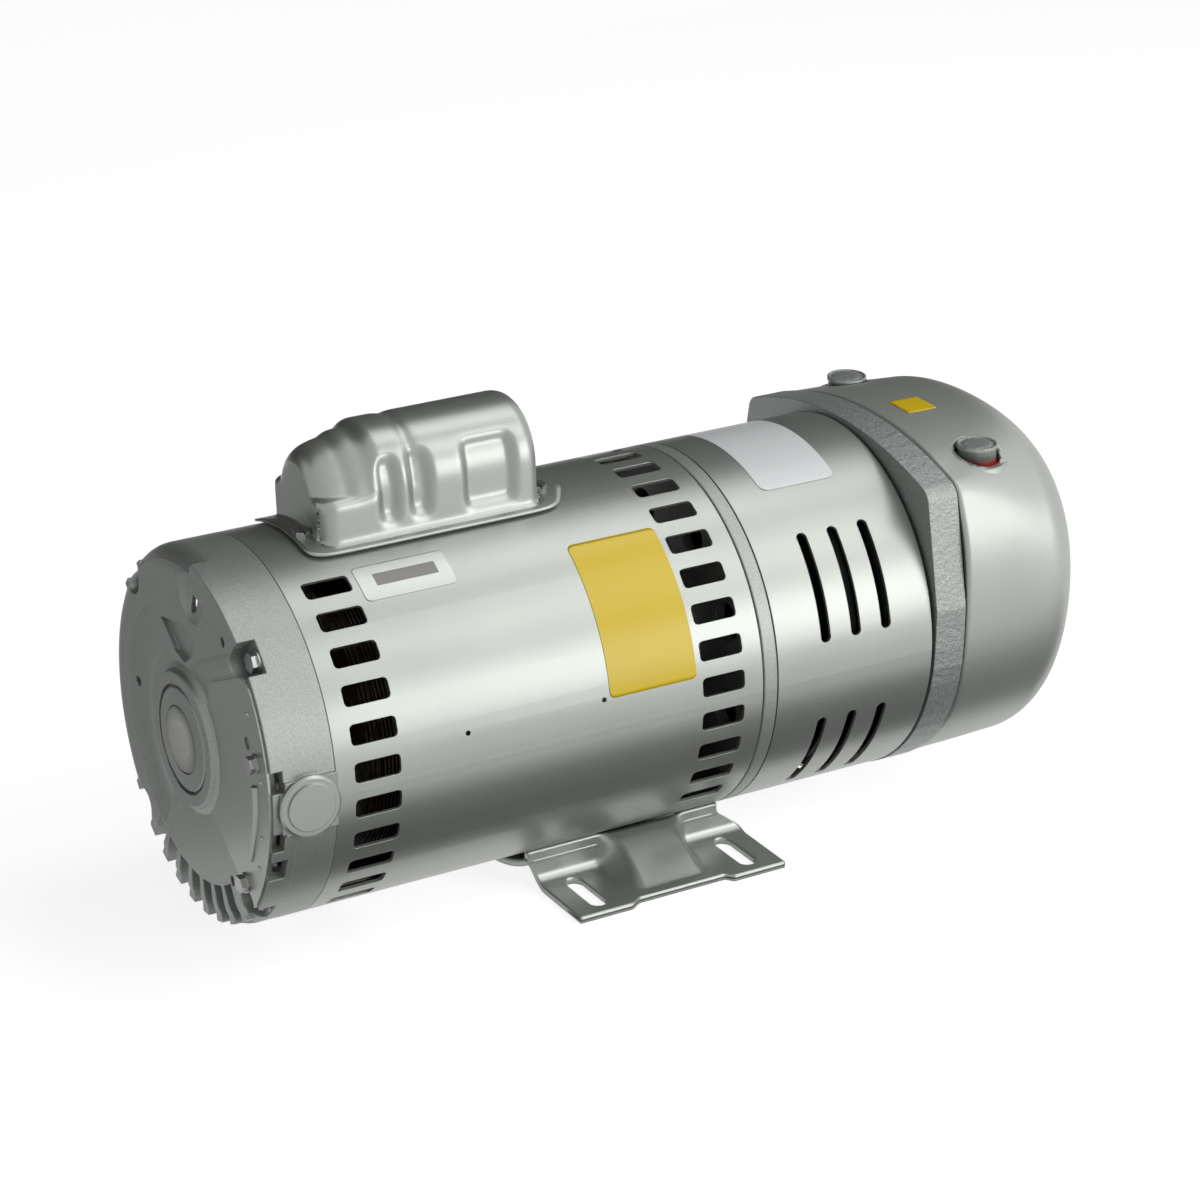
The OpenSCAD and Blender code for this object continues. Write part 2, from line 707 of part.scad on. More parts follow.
// Flat outline of the flange, seen from above
module flange_outline() {
    translate([0, (flange_y0 + flange_y1) / 2])
        polygon(round_rect(2 * flange_half, flange_y1 - flange_y0, 6, 6));
    for (s = cap_screws) translate([(shell_r + press_t) * sin(s[0]), s[1]]) circle(r = lobe_r);
}

module capacitor_cover() {
    color(sheet_paint) cap_frame() difference() {
        union() {
            cap_barrel(0);
            cap_nose(0);
            intersection() {
                translate([0, 0, shell_r / 2]) linear_extrude(shell_r) flange_outline();
                translate([0, flange_y0 - 20, 0]) rotate([-90, 0, 0])
                    cylinder(h = cap_len + 50, r = shell_r + press_t);
            }
        }
        cap_barrel(press_t);
        cap_nose(press_t);
        translate([0, flange_y0 - 30, 0]) rotate([-90, 0, 0]) cylinder(h = cap_len + 70, r = shell_r + 0.02);
        for (s = cap_screws) rotate([0, s[0], 0]) translate([0, s[1], shell_r - 20])
            cylinder(h = 40, r = 1.9);
    }
}

module capacitor_cover_screws() {
    color(steel) cap_frame() for (s = cap_screws) rotate([0, s[0], 0]) {
        translate([0, s[1], shell_r + press_t]) difference() {
            union() {
                cylinder(h = 0.8, r = 3.9);
                hex_head(3.8, 3.2);
            }
            translate([-4, -0.5, 2.3]) cube([8, 1, 2]);
        }
        translate([0, s[1], shell_r + 0.1]) cylinder(h = press_t + 0.2, r = cap_screw_r);
    }
}

module start_capacitor() {
    color("#1f1f21") cap_frame() translate([0, step_y + 4, barrel_z]) rotate([-90, 0, 0]) union() {
        cylinder(h = cap_len - nose_len - 10, r = barrel_rise - 0.2);
        for (x = [-6, 6]) translate([x - 2, -0.4, -6]) cube([4, 0.8, 6]);
    }
}

// Foot

saddle_y0 = -foot_len / 2 - 5;
saddle_y1 = foot_len / 2 - 12.5;
saddle_half = asin((riser_x + foot_t / 2) / (shell_r + foot_t));
riser_top = shaft_h - sqrt(shell_r * shell_r - (riser_x + foot_t) * (riser_x + foot_t)) + 0.5;
plate_corner = 4;

module foot_plate_outline() {
    difference() {
        translate([riser_x, -foot_len / 2]) square([plate_w, foot_len]);
        translate([foot_w / 2 - edge_notch, -23]) polygon([[0, 0], [8, -4], [8, 50], [0, 46]]);
        for (y = [-0.5, 0.5]) translate([slot_pitch_x / 2, y * slot_pitch_y]) {
            translate([-slot_run / 2, -slot_w / 2]) square([slot_run, slot_w]);
            for (s = [-0.5, 0.5]) translate([s * slot_run, 0]) circle(r = slot_w / 2);
        }
        for (s = [-1, 1]) translate([foot_w / 2, s * foot_len / 2]) rotate([0, 0, 45])
            square([plate_corner * sqrt(2), plate_corner * sqrt(2)], center = true);
    }
}

module bulge(inset) {
    hull() {
        translate([riser_x + 2, -22 + inset, 0]) cube([1, 44 - 2 * inset, bulge_h - inset]);
        translate([riser_x + plate_w * 0.4, -17 + inset, 0]) cube([1, 34 - 2 * inset, bulge_h - 4 - inset]);
        translate([riser_x + plate_w * 0.8 - inset, -10, 0]) cube([1, 20, 0.5]);
    }
}

module foot_side() {
    difference() {
        union() {
            linear_extrude(foot_t) foot_plate_outline();
            translate([riser_x, 0, 0]) rotate([90, 0, 90]) linear_extrude(foot_t)
                polygon([[saddle_y0, riser_top], [saddle_y1, riser_top], [saddle_y1 + 2.5, 3 * foot_t],
                    [foot_len / 2, foot_t / 3], [foot_len / 2, 0], [-foot_len / 2, 0],
                    [-foot_len / 2, foot_t]]);
            bulge(0);
        }
        translate([-0.01, 0, -0.01]) bulge(foot_t);
    }
}

module foot() {
    color(sheet_paint) union() {
        difference() {
            union() {
                foot_side();
                mirror([1, 0, 0]) foot_side();
            }
            drum(-foot_len, 2 * foot_len, shell_r);
        }
        along(saddle_y0) sector(shell_r, shell_r + foot_t, 270 - saddle_half, 270 + saddle_half,
            saddle_y1 - saddle_y0);
    }
}

// Bracket between motor and pump

module drive_bracket() {
    y0 = shell_end_y;
    seat_r = front_bearing_r + 5.5;
    lip_y = front_bearing_y + bearing_lip;
    web_mid_r = (seat_r + wall_in_r) / 2 + 1;
    color(cast_paint) difference() {
        union() {
            turned([
                [wall_in_r, y0 - 4], [register_r, y0 - 4], [register_r, y0 + seam_a],
                [shell_r - 0.4, y0 + seam_a],
                [shell_r, y0 + seam_a + 0.4], [shell_r, shroud_y - seam_b - 0.4],
                [shell_r - 0.4, shroud_y - seam_b], [register_r, shroud_y - seam_b],
                [register_r, shroud_y + 4],
                [wall_in_r, shroud_y + 4], [wall_in_r, y0 + 6],
                [seat_r + 2, y0 + 6], [seat_r + 2, lip_y + 2], [front_journal_r + 1, lip_y + 2],
                [front_journal_r + 1, lip_y + 0.4], [front_pitch_r, lip_y + 0.4], [front_pitch_r, lip_y],
                [front_bearing_r, lip_y], [front_bearing_r, front_bearing_y - 2],
                [seat_r, front_bearing_y - 2],
                [seat_r, y0 + 1], [wall_in_r, y0 + 1]]);
            along(y0 - 2) intersection() {
                ring_of(4, 45) translate([tie_circle_r, 0, 0]) cylinder(h = bracket_len + 1.4, r = 7.5);
                cylinder(h = 20, r = register_r);
            }
            along(y0 + 2) ring_of(4, 45) translate([leg_circle_r, 0, 0])
                cylinder(h = near_y - y0 - 2, r = leg_r);
        }
        along(y0 - 6) {
            ring_of(4, 45) translate([tie_circle_r, 0, 0]) cylinder(h = 40, r = tie_r + thread_fit);
            ring_of(4, 45) translate([leg_circle_r, 0, 12]) cylinder(h = 40, r = leg_screw_r + 0.05);
            ring_of(8, 22.5) translate([web_mid_r, 0, 0]) cylinder(h = 30, r = 9);
        }
    }
}

// Shaft assembly

module shaft() {
    color(bright) difference() {
        turned([
            [0, rear_bearing_y + 1], [rear_journal_r - 1, rear_bearing_y + 1],
            [rear_journal_r, rear_bearing_y + 2],
            [rear_journal_r, rear_bearing_y + rear_bearing_w],
            [collar_seat_r, rear_bearing_y + rear_bearing_w],
            [collar_seat_r, governor_y + 12], [core_shaft_r, governor_y + 12],
            [core_shaft_r, core_end_y + 16],
            [front_journal_r + 1.5, core_end_y + 16], [front_journal_r + 1.5, front_bearing_y],
            [front_journal_r, front_bearing_y], [front_journal_r, fan_y - 2], [pump_shaft_r, fan_y - 2],
            [pump_shaft_r, shaft_end_y], [0, shaft_end_y]]);
        along(shaft_end_y - 20) cylinder(h = 30, r = screw_r);
        along(rotor_y + 6) translate([-key_w / 2, pump_shaft_r - key_w / 2, 0])
            cube([key_w, 6, rotor_len - 16]);
    }
}

module rotor_core() {
    color("#6d6a66") drum(core_y, core_len, gap_r - air_gap, core_shaft_r);
}

module end_ring() {
    r = gap_r - 2;
    difference() {
        cylinder(h = 8, r = r);
        translate([0, 0, -cut]) cylinder(h = 8 + 2 * cut, r = r - 15);
    }
    ring_of(10) translate([r - 13, -1.2, 7]) cube([12, 2.4, 9]);
}

module rotor_end_rings() {
    color(bright) union() {
        along(core_end_y) end_ring();
        along(core_y) mirror([0, 0, 1]) end_ring();
    }
}

module pump_fan() {
    color("#2f3133") along(fan_y) difference() {
        union() {
            cylinder(h = 1.8, r = fan_r);
            cylinder(h = fan_len, r = pump_shaft_r + 8.5);
            ring_of(9) translate([pump_shaft_r + 6.5, -1, 0]) cube([fan_r - pump_shaft_r - 7.5, 2, fan_len]);
        }
        translate([0, 0, -cut]) cylinder(h = fan_len + 2 * cut, r = pump_shaft_r);
    }
}

module pump_rotor() {
    color("#7d8084") along(rotor_y) difference() {
        cylinder(h = rotor_len, r = rotor_r);
        translate([0, 0, -cut]) cylinder(h = rotor_len + 2 * cut, r = pump_shaft_r);
        ring_of(4) translate([slot_floor_r, -vane_t / 2 - slot_clear, -cut])
            cube([far, vane_t + 2 * slot_clear, rotor_len + 2 * cut]);
        translate([-key_w / 2, 0, 6]) cube([key_w, pump_shaft_r + key_w / 2, rotor_len]);
        translate([0, 0, rotor_len - rotor_sink]) cylinder(h = 10, r = pump_shaft_r + 5);
    }
}

module rotor_key() {
    w = key_w - 2 * key_fit;
    color(steel) along(rotor_y + 6.2) translate([-w / 2, pump_shaft_r - w / 2, 0])
        cube([w, w, rotor_len - 16.4]);
}

module rotor_screw() {
    color(steel) along(rotor_y + rotor_len - rotor_sink) union() {
        cylinder(h = 1.6, r = pump_shaft_r + 4.5);
        translate([0, 0, 1.6]) hex_head(5.8, 4);
        translate([0, 0, -18]) cylinder(h = 18, r = screw_r - thread_fit);
    }
}

module vane(k) {
    color("#2b2b2d") along(rotor_y + 0.05) rotate([0, 0, k * 90])
        translate([rotor_r - 0.15 - vane_h, -vane_t / 2, 0]) cube([vane_h, vane_t, rotor_len - 0.1]);
}

module vane_1() { vane(0); }
module vane_2() { vane(1); }
module vane_3() { vane(2); }
module vane_4() { vane(3); }

// Pump housing

slot_row_pitch = 15.7;
slot_first_y = shroud_y + 25.2;
slot_half = 15.6;
shroud_slot_w = 5;

module shroud_slot(y, a0, a1) {
    r = shell_in - 2;
    along(y - shroud_slot_w / 2) sector(r, shell_r + 3, a0, a1, shroud_slot_w);
    for (a = [a0, a1]) along(y) rotate([0, 0, a]) translate([r, 0, 0]) rotate([0, 90, 0])
        cylinder(h = 6.5, r = shroud_slot_w / 2 + 0.05);
}

module pump_shroud() {
    color(sheet_paint) difference() {
        drum(shroud_y, shroud_len, shell_r, shell_in);
        for (k = [0 : 2]) for (mid = [28, -32.5, -90, -147.5, 152])
            shroud_slot(slot_first_y + k * slot_row_pitch, mid - slot_half, mid + slot_half);
    }
}

module near_end_plate() {
    color("#5f625f") along(near_y) difference() {
        cylinder(h = near_t, r = near_r);
        translate([0, 0, -cut]) cylinder(h = near_t + 2 * cut, r = pump_shaft_r + 0.4);
        ring_of(4, 45) translate([leg_circle_r, 0, -cut]) {
            cylinder(h = near_t + 2 * cut, r = leg_screw_r + 0.25);
            translate([0, 0, near_t / 2 + cut]) cylinder(h = near_t, r = 5);
        }
        ring_of(6) translate([bolt_circle_r, 0, -cut]) cylinder(h = near_t + 2 * cut, r = screw_r);
    }
}

module near_plate_screws() {
    color(steel) along(near_y) ring_of(4, 45) translate([leg_circle_r, 0, 0]) {
        translate([0, 0, -near_t]) cylinder(h = near_t * 1.5, r = leg_screw_r);
        translate([0, 0, near_t / 2]) cylinder(h = near_t / 2 - 0.5, r = 4.5);
    }
}

module pump_body() {
    pitch = (bore_len - body_fin_t) / (body_fin_count - 1);
    color("#5f625f") along(body_y) difference() {
        union() {
            cylinder(h = bore_len, r = body_r);
            for (i = [0 : body_fin_count - 1]) translate([0, 0, i * pitch])
                cylinder(h = body_fin_t, r = body_fin_r);
            ring_of(6) translate([bolt_circle_r, 0, 0]) cylinder(h = bore_len, r = 6.5);
        }
        translate([0, -bore_drop, -cut]) cylinder(h = bore_len + 2 * cut, r = bore_r);
        ring_of(6) translate([bolt_circle_r, 0, -cut])
            cylinder(h = bore_len + 2 * cut, r = screw_r + bore_clear);
    }
}

module body_bolts() {
    shank = plate_end_y - near_y - 1;
    color(steel) along(near_y + 1) ring_of(6) translate([bolt_circle_r, 0, 0]) {
        cylinder(h = shank, r = screw_r - thread_fit);
        translate([0, 0, shank]) hex_head(hex_small, 4);
    }
}

module body_seal_ring() {
    color("#1c1c1c") along(plate_y + 1.2) rotate_extrude() translate([bore_r + 8, 0])
        circle(r = 1.1, $fn = 32);
}

module dead_end_plate() {
    color(cast_paint) difference() {
        d_slab(plate_y, plate_t);
        along(plate_y - cut) {
            rotate_extrude() translate([bore_r + 6.7, 0]) square([2.7, 3.4]);
            for (a = [5, 135]) sector(bore_r - 7.5, bore_r - 1.5, a, a + 40, plate_t + 2 * cut);
            ring_of(6) translate([bolt_circle_r, 0, 0])
                cylinder(h = plate_t + 2 * cut, r = screw_r + bore_clear);
            for (p = cover_bolt_at) translate([p[0], p[1], 4]) cylinder(h = plate_t, r = screw_r - 0.5);
        }
    }
}

module cover_gasket() {
    color("#26282a") along(plate_end_y) linear_extrude(gasket_t) difference() {
        polygon(d_outline(0.7));
        polygon(d_outline(5));
    }
}

// Rounded pan with the D outline; the corners grow rounder towards the far end
module cover_form(inset) {
    run = cover_len - cover_edge_r;
    steps = 6;
    hull() {
        d_slab(cover_y, 0.5, inset);
        d_slab(cover_y + run * 0.45, 0.5, inset + 0.4, 20);
        for (i = [0 : steps]) let(f = 90 * i / steps) {
            d_slab(cover_y + run + (cover_edge_r - inset) * sin(f) - 0.2, 0.2,
                inset + 0.8 + (cover_edge_r - inset) * (1 - cos(f)), end_corner_r);
        }
    }
}

module end_cover() {
    color(sheet_paint) difference() {
        union() {
            difference() {
                cover_form(0);
                translate([0, -0.2, 0]) cover_form(cover_t);
            }
            intersection() {
                cover_form(0.6);
                union() {
                    translate([-1.5, cover_y, shaft_h - shell_r + 1])
                        cube([3, far, shell_r + bolt_circle_r - 7]);
                    for (p = cover_bolt_at) along(cover_y) translate([p[0], p[1], 0])
                        cylinder(h = cover_len, r = cover_boss_r);
                    for (s = [-1, 1]) translate([s * port_x, port_y, shaft_h + port_top_z - port_depth])
                        cylinder(h = 2 * port_depth, r = port_boss_r);
                }
            }
        }
        for (p = cover_bolt_at) along(cover_y - cut) translate([p[0], p[1], 0])
            cylinder(h = cover_len + 20, r = screw_r + bore_clear);
        for (s = [-1, 1]) translate([s * port_x, port_y, shaft_h + port_top_z]) {
            translate([0, 0, -port_depth - 3]) cylinder(h = 2 * port_depth, r = port_r);
            translate([0, 0, -port_seat_t]) cylinder(h = 2 * port_depth, r = port_seat_r);
        }
    }
}

module cover_bolts() {
    shank = cover_len + gasket_t + 8;
    color(steel) along(cover_end_y) for (p = cover_bolt_at) translate([p[0], p[1], 0]) {
        hex_head(hex_small, 4.2);
        translate([0, 0, -shank]) cylinder(h = shank, r = screw_r - 0.52);
    }
}

module felt(side) {
    color("#cfc9b8") along(plate_end_y) translate([side * felt_x, felt_z, 0]) difference() {
        cylinder(h = cover_len + gasket_t - cover_t - 4, r = felt_r);
        translate([0, 0, -cut]) cylinder(h = cover_len / 2, r = felt_in_r);
    }
}

module intake_felt() { felt(-1); }
module exhaust_felt() { felt(1); }

plug_r = 9.2;
plug_lift = 3;

// Cap plug that stands on the ledge in a port
module plug(side) {
    foot_z = -port_seat_t + 0.2;
    color(cast_paint) translate([side * port_x, port_y, shaft_h + port_top_z]) union() {
        difference() {
            translate([0, 0, plug_lift - 2]) cylinder(h = 2, r = plug_r);
            translate([0, 0, plug_lift - 0.6]) difference() {
                cylinder(h = 2, r = plug_r - 1.2);
                cylinder(h = 2, r = plug_r - 3.4);
            }
        }
        translate([0, 0, foot_z + 1]) cylinder(h = plug_lift - foot_z - 2, r = plug_r - 0.7);
        translate([0, 0, foot_z]) cylinder(h = 1.8, r = port_seat_r - 0.2);
    }
}

module inlet_plug() { plug(-1); }
module exhaust_plug() { plug(1); }

module labels() {
    low = shell_r + 0.05;
    high = shell_r + 0.2;
    color("#d9d9d4") union() {
        along(shroud_y + 17.5) sector(low, high, 62, 109, 38.5);
        along(core_end_y - 7) sector(low, high, 9.5, 58, 42.5);
        along(core_y - 33) sector(low, high, 54, 66.5, 42);
        translate([0, cover_y, shaft_h + top_z]) rotate([-0.94, 0, 0]) translate([0, 0, -top_r - shaft_h])
            along(14) sector(top_r + 0.05, top_r + 0.2, 86.2, 91.1, 15.5);
    }
}

end_bell();
hub_cap();
terminal_cover();
terminal_cover_screws();
conduit_plug();
terminal_board();
motor_shell();
through_bolts();
stator_core();
stator_windings();
rear_bearing_outer();
rear_bearing_balls();
rear_bearing_inner();
wave_washer();
switch_board();
switch_governor();
switch_collar();
capacitor_cover();
capacitor_cover_screws();
start_capacitor();
foot();
drive_bracket();
front_bearing_outer();
front_bearing_balls();
front_bearing_inner();
shaft();
rotor_core();
rotor_end_rings();
pump_fan();
pump_shroud();
near_end_plate();
near_plate_screws();
pump_body();
body_bolts();
body_seal_ring();
pump_rotor();
rotor_key();
rotor_screw();
vane_1();
vane_2();
vane_3();
vane_4();
dead_end_plate();
cover_gasket();
end_cover();
cover_bolts();
intake_felt();
exhaust_felt();
inlet_plug();
exhaust_plug();
labels();
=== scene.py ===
"""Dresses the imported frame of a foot-mounted rotary vane air pump.

The CAD nodes give every place and every moving body. This script adds the pressed, cast and
moulded surfaces that the frame leaves plain, gives each node a finish, and sets up the studio.
Sizes are in millimetres in the classes and become metres when a mesh is made.
"""

from __future__ import annotations

import logging
import math
from dataclasses import dataclass
from enum import Enum

import bmesh
import bpy
import numpy as np
from mathutils import Matrix, Vector

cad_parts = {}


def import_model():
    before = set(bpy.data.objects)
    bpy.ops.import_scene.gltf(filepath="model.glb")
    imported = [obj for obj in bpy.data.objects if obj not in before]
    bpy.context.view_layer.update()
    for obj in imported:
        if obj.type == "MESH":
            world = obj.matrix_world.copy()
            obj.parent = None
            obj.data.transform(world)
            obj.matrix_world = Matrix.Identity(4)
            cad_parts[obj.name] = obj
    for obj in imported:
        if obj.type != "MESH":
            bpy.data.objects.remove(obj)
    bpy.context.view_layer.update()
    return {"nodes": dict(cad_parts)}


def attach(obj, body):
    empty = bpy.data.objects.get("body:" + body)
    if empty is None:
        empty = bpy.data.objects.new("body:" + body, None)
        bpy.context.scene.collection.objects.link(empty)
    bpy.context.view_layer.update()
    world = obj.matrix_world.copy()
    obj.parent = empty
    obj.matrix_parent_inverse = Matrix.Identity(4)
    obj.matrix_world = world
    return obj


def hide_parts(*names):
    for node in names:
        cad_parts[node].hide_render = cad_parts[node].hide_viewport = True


LOG = logging.getLogger("vane_pump")
MM = 0.001
SHAFT_HEIGHT = 88.9
SHELL_RADIUS = 82.0
MERGE = 1e-4
LATHE_STEPS = 72
TURN = np.linspace(-np.pi / 2, np.pi * 1.5, 400, endpoint=False)
Colour = tuple[float, float, float]
Point = tuple[float, float, float]
Span = tuple[float, float]
Palette = dict[str, bpy.types.Material]


class Body(Enum):
    """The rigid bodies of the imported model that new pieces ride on."""

    HOUSING = "housing"
    INLET_PLUG = "inlet_plug"
    EXHAUST_PLUG = "exhaust_plug"


# Node graphs and finishes


class Graph:
    """A small writer for the node tree of a material or a world."""

    def __init__(self, owner: bpy.types.Material | bpy.types.World) -> None:
        """Empty the owner's tree and give it an output.

        Args:
            owner: The material or world.
        """
        self.owner = owner
        owner.use_nodes = True
        self.tree = owner.node_tree
        self.tree.nodes.clear()
        kind = "World" if isinstance(owner, bpy.types.World) else "Material"
        self.output = self.node("Output" + kind)
        self.coords = self.node("TexCoord").outputs["Object"]

    @classmethod
    def named(cls, name: str) -> Graph:
        """Start a new material.

        Args:
            name: Name of the material.

        Returns:
            The graph of the material.
        """
        return cls(bpy.data.materials.new(name))

    def node(self, kind: str, links: dict | None = None, **settings: object) -> bpy.types.Node:
        """Add a node.

        Args:
            kind: Node type without its "ShaderNode" prefix.
            links: Input name to a socket or to a plain value.
            **settings: Properties set on the node itself.

        Returns:
            The new node.
        """
        made = self.tree.nodes.new("ShaderNode" + kind)
        for key, value in settings.items():
            setattr(made, key, value)
        for key, value in (links or {}).items():
            if isinstance(value, bpy.types.NodeSocket):
                self.tree.links.new(value, made.inputs[key])
            else:
                made.inputs[key].default_value = value
        return made

    def noise(self, scale: float, detail: float = 2.0,
              stretch: Point = (1, 1, 1)) -> bpy.types.NodeSocket:
        """Fractal noise in object coordinates.

        Args:
            scale: Features per metre.
            detail: Number of octaves.
            stretch: Scale of each axis.

        Returns:
            The noise value socket, about 0 to 1.
        """
        place = self.node("Mapping", {"Vector": self.coords, "Scale": stretch})
        links = {"Vector": place.outputs[0], "Scale": scale, "Detail": detail}
        return self.node("TexNoise", links).outputs[0]

    def ramp(self, value: bpy.types.NodeSocket, span: Span, dark: Colour,
             light: Colour) -> bpy.types.NodeSocket:
        """Map a value to a blend of two colours.

        Args:
            value: Socket that drives the blend.
            span: Values that give the dark and the light colour.
            dark: First colour.
            light: Second colour.

        Returns:
            The colour socket.
        """
        ramp = self.node("ValToRGB", {"Fac": value})
        for end, position, colour in zip(ramp.color_ramp.elements, span, (dark, light)):
            end.position, end.color = position, (*colour, 1)
        return ramp.outputs["Color"]

    def spread(self, value: bpy.types.NodeSocket, mean: float, below: float,
               above: float | None = None) -> bpy.types.NodeSocket:
        """Spread a 0 to 1 value around a mean.

        Args:
            value: Socket to spread.
            mean: Middle of the result.
            below: How far below the mean 0 falls.
            above: How far above it 1 falls, the same where it isn't given.

        Returns:
            The new value socket.
        """
        top = mean + (below if above is None else above)
        links = {"Value": value, "To Min": mean - below, "To Max": top}
        return self.node("MapRange", links).outputs["Result"]

    def rounded(self, radius: float) -> bpy.types.NodeSocket:
        """A normal that softens every edge.

        Args:
            radius: Radius of the edges in metres.

        Returns:
            The normal socket.
        """
        return self.node("Bevel", {"Radius": radius}, samples=6).outputs[0]

    def bump(self, height: bpy.types.NodeSocket, depth: float,
             below: bpy.types.NodeSocket | None = None) -> bpy.types.NodeSocket:
        """Turn a height into a normal.

        Args:
            height: Socket with the height, about 0 to 1.
            depth: Depth of the relief, in metres.
            below: Normal that this relief is laid over.

        Returns:
            The normal socket.
        """
        links = {"Height": height, "Distance": depth, "Strength": 1.0}
        if below is not None:
            links["Normal"] = below
        return self.node("Bump", links).outputs["Normal"]

    def seen_directly(self) -> bpy.types.NodeSocket:
        """1 for rays that show the background: from the camera, a mirror or through glass.

        Returns:
            The largest of the three ray flags.
        """
        path = self.node("LightPath").outputs
        largest = path["Is Camera Ray"]
        for flag in ("Is Glossy Ray", "Is Transmission Ray"):
            largest = self.node("Math", {0: largest, 1: path[flag]}, operation="MAXIMUM").outputs[0]
        return largest

    def close(self, shader: bpy.types.Node) -> bpy.types.Material | bpy.types.World:
        """Join a shader to the output.

        Args:
            shader: The last node.

        Returns:
            The owner of the tree.
        """
        self.tree.links.new(shader.outputs[0], self.output.inputs["Surface"])
        return self.owner

    def surface(self, **inputs: object) -> bpy.types.Material:
        """Finish the material with a Principled surface.

        Args:
            **inputs: Socket names, with underscores for spaces, to sockets or values.

        Returns:
            The finished material.
        """
        links = {key.replace("_", " "): value for key, value in inputs.items()}
        return self.close(self.node("BsdfPrincipled", links))


def scaled(colour: Colour, share: float) -> Colour:
    """Darken or lighten a colour.

    Args:
        colour: The colour.
        share: Factor on each channel.

    Returns:
        The scaled colour.
    """
    return tuple(c * share for c in colour)


@dataclass(frozen=True)
class Finish:
    """A named surface finish.

    Attributes:
        name: Name of the material.
        colour: Main colour.
        roughness: Mean roughness.
    """

    name: str
    colour: Colour = (0.5, 0.5, 0.5)
    roughness: float = 0.5

    def build(self) -> bpy.types.Material:
        """Make the material.

        Returns:
            The material, which each kind of finish writes in its own way.
        """
        raise NotImplementedError


@dataclass(frozen=True)
class Paint(Finish):
    """Satin silver-grey machine paint over pressed sheet.

    Attributes:
        grain_scale: Grains per metre.
    """

    colour: Colour = (0.385, 0.405, 0.378)
    roughness: float = 0.35
    grain_scale: float = 900.0

    def build(self) -> bpy.types.Material:
        """Make the material.

        Returns:
            A painted surface with faint mottling, grain and softly rounded edges.
        """
        g = Graph.named(self.name)
        grain = g.noise(self.grain_scale, 4.0)
        tint = g.ramp(g.noise(30.0, 3.0), (0.30, 0.72), scaled(self.colour, 0.96), self.colour)
        rough = g.spread(grain, self.roughness, 0.04)
        normal = g.bump(grain, 0.000012, g.rounded(0.0004))
        return g.surface(Base_Color=tint, Roughness=rough, Normal=normal, Metallic=0.6)


@dataclass(frozen=True)
class SandCast(Finish):
    """Silver-grey paint on a casting: pitted, with a fine sparkle.

    Attributes:
        depth: Depth of the coarse grain in metres.
        sparkle: Spread of the speckle's brightness around the colour.
    """

    colour: Colour = (0.34, 0.36, 0.345)
    roughness: float = 0.45
    depth: float = 0.0001
    sparkle: float = 0.25

    def build(self) -> bpy.types.Material:
        """Make the material.

        Returns:
            A painted casting with two sizes of grain and a speckle.
        """
        g = Graph.named(self.name)
        speckle = g.noise(2600.0, 2.0)
        dark, light = (scaled(self.colour, 1 + k * self.sparkle) for k in (-1, 1))
        tint = g.ramp(speckle, (0.36, 0.68), dark, light)
        rough = g.spread(speckle, self.roughness, 0.11)
        coarse = g.bump(g.noise(420.0, 4.0), self.depth, g.rounded(0.0008))
        normal = g.bump(g.noise(1500.0, 3.0), self.depth * 0.35, coarse)
        return g.surface(Base_Color=tint, Roughness=rough, Normal=normal, Metallic=0.5)


@dataclass(frozen=True)
class BareMetal(Finish):
    """Machined, plated or as-cast bare metal.

    Attributes:
        stretch: Scale of the brushing along each axis.
    """

    colour: Colour = (0.55, 0.55, 0.54)
    roughness: float = 0.34
    stretch: Point = (1, 1, 1)

    def build(self) -> bpy.types.Material:
        """Make the material.

        Returns:
            A metal with a fine brushed grain and dull patches.
        """
        g = Graph.named(self.name)
        patch = g.noise(60.0, 3.0)
        brush = g.noise(1100.0, 3.0, self.stretch)
        tint = g.ramp(patch, (0.3, 0.7), scaled(self.colour, 0.78), self.colour)
        rough = g.spread(brush, self.roughness, 0.1, 0.12)
        normal = g.bump(brush, 0.00001, g.rounded(0.0003))
        return g.surface(Base_Color=tint, Roughness=rough, Normal=normal, Metallic=1.0)


@dataclass(frozen=True)
class Moulding(Finish):
    """Moulded, pressed or woven stock with a fine texture.

    Attributes:
        grain: Depth of the texture in metres.
    """

    colour: Colour = (0.05, 0.05, 0.055)
    grain: float = 0.00003

    def build(self) -> bpy.types.Material:
        """Make the material.

        Returns:
            A non-metal surface with a fine texture and slight colour variation.
        """
        g = Graph.named(self.name)
        grain = g.noise(1200.0, 3.0)
        tint = g.ramp(g.noise(90.0, 2.0), (0.3, 0.7), scaled(self.colour, 0.86), self.colour)
        rough = g.spread(grain, self.roughness, 0.06)
        return g.surface(Base_Color=tint, Roughness=rough, Normal=g.bump(grain, self.grain))


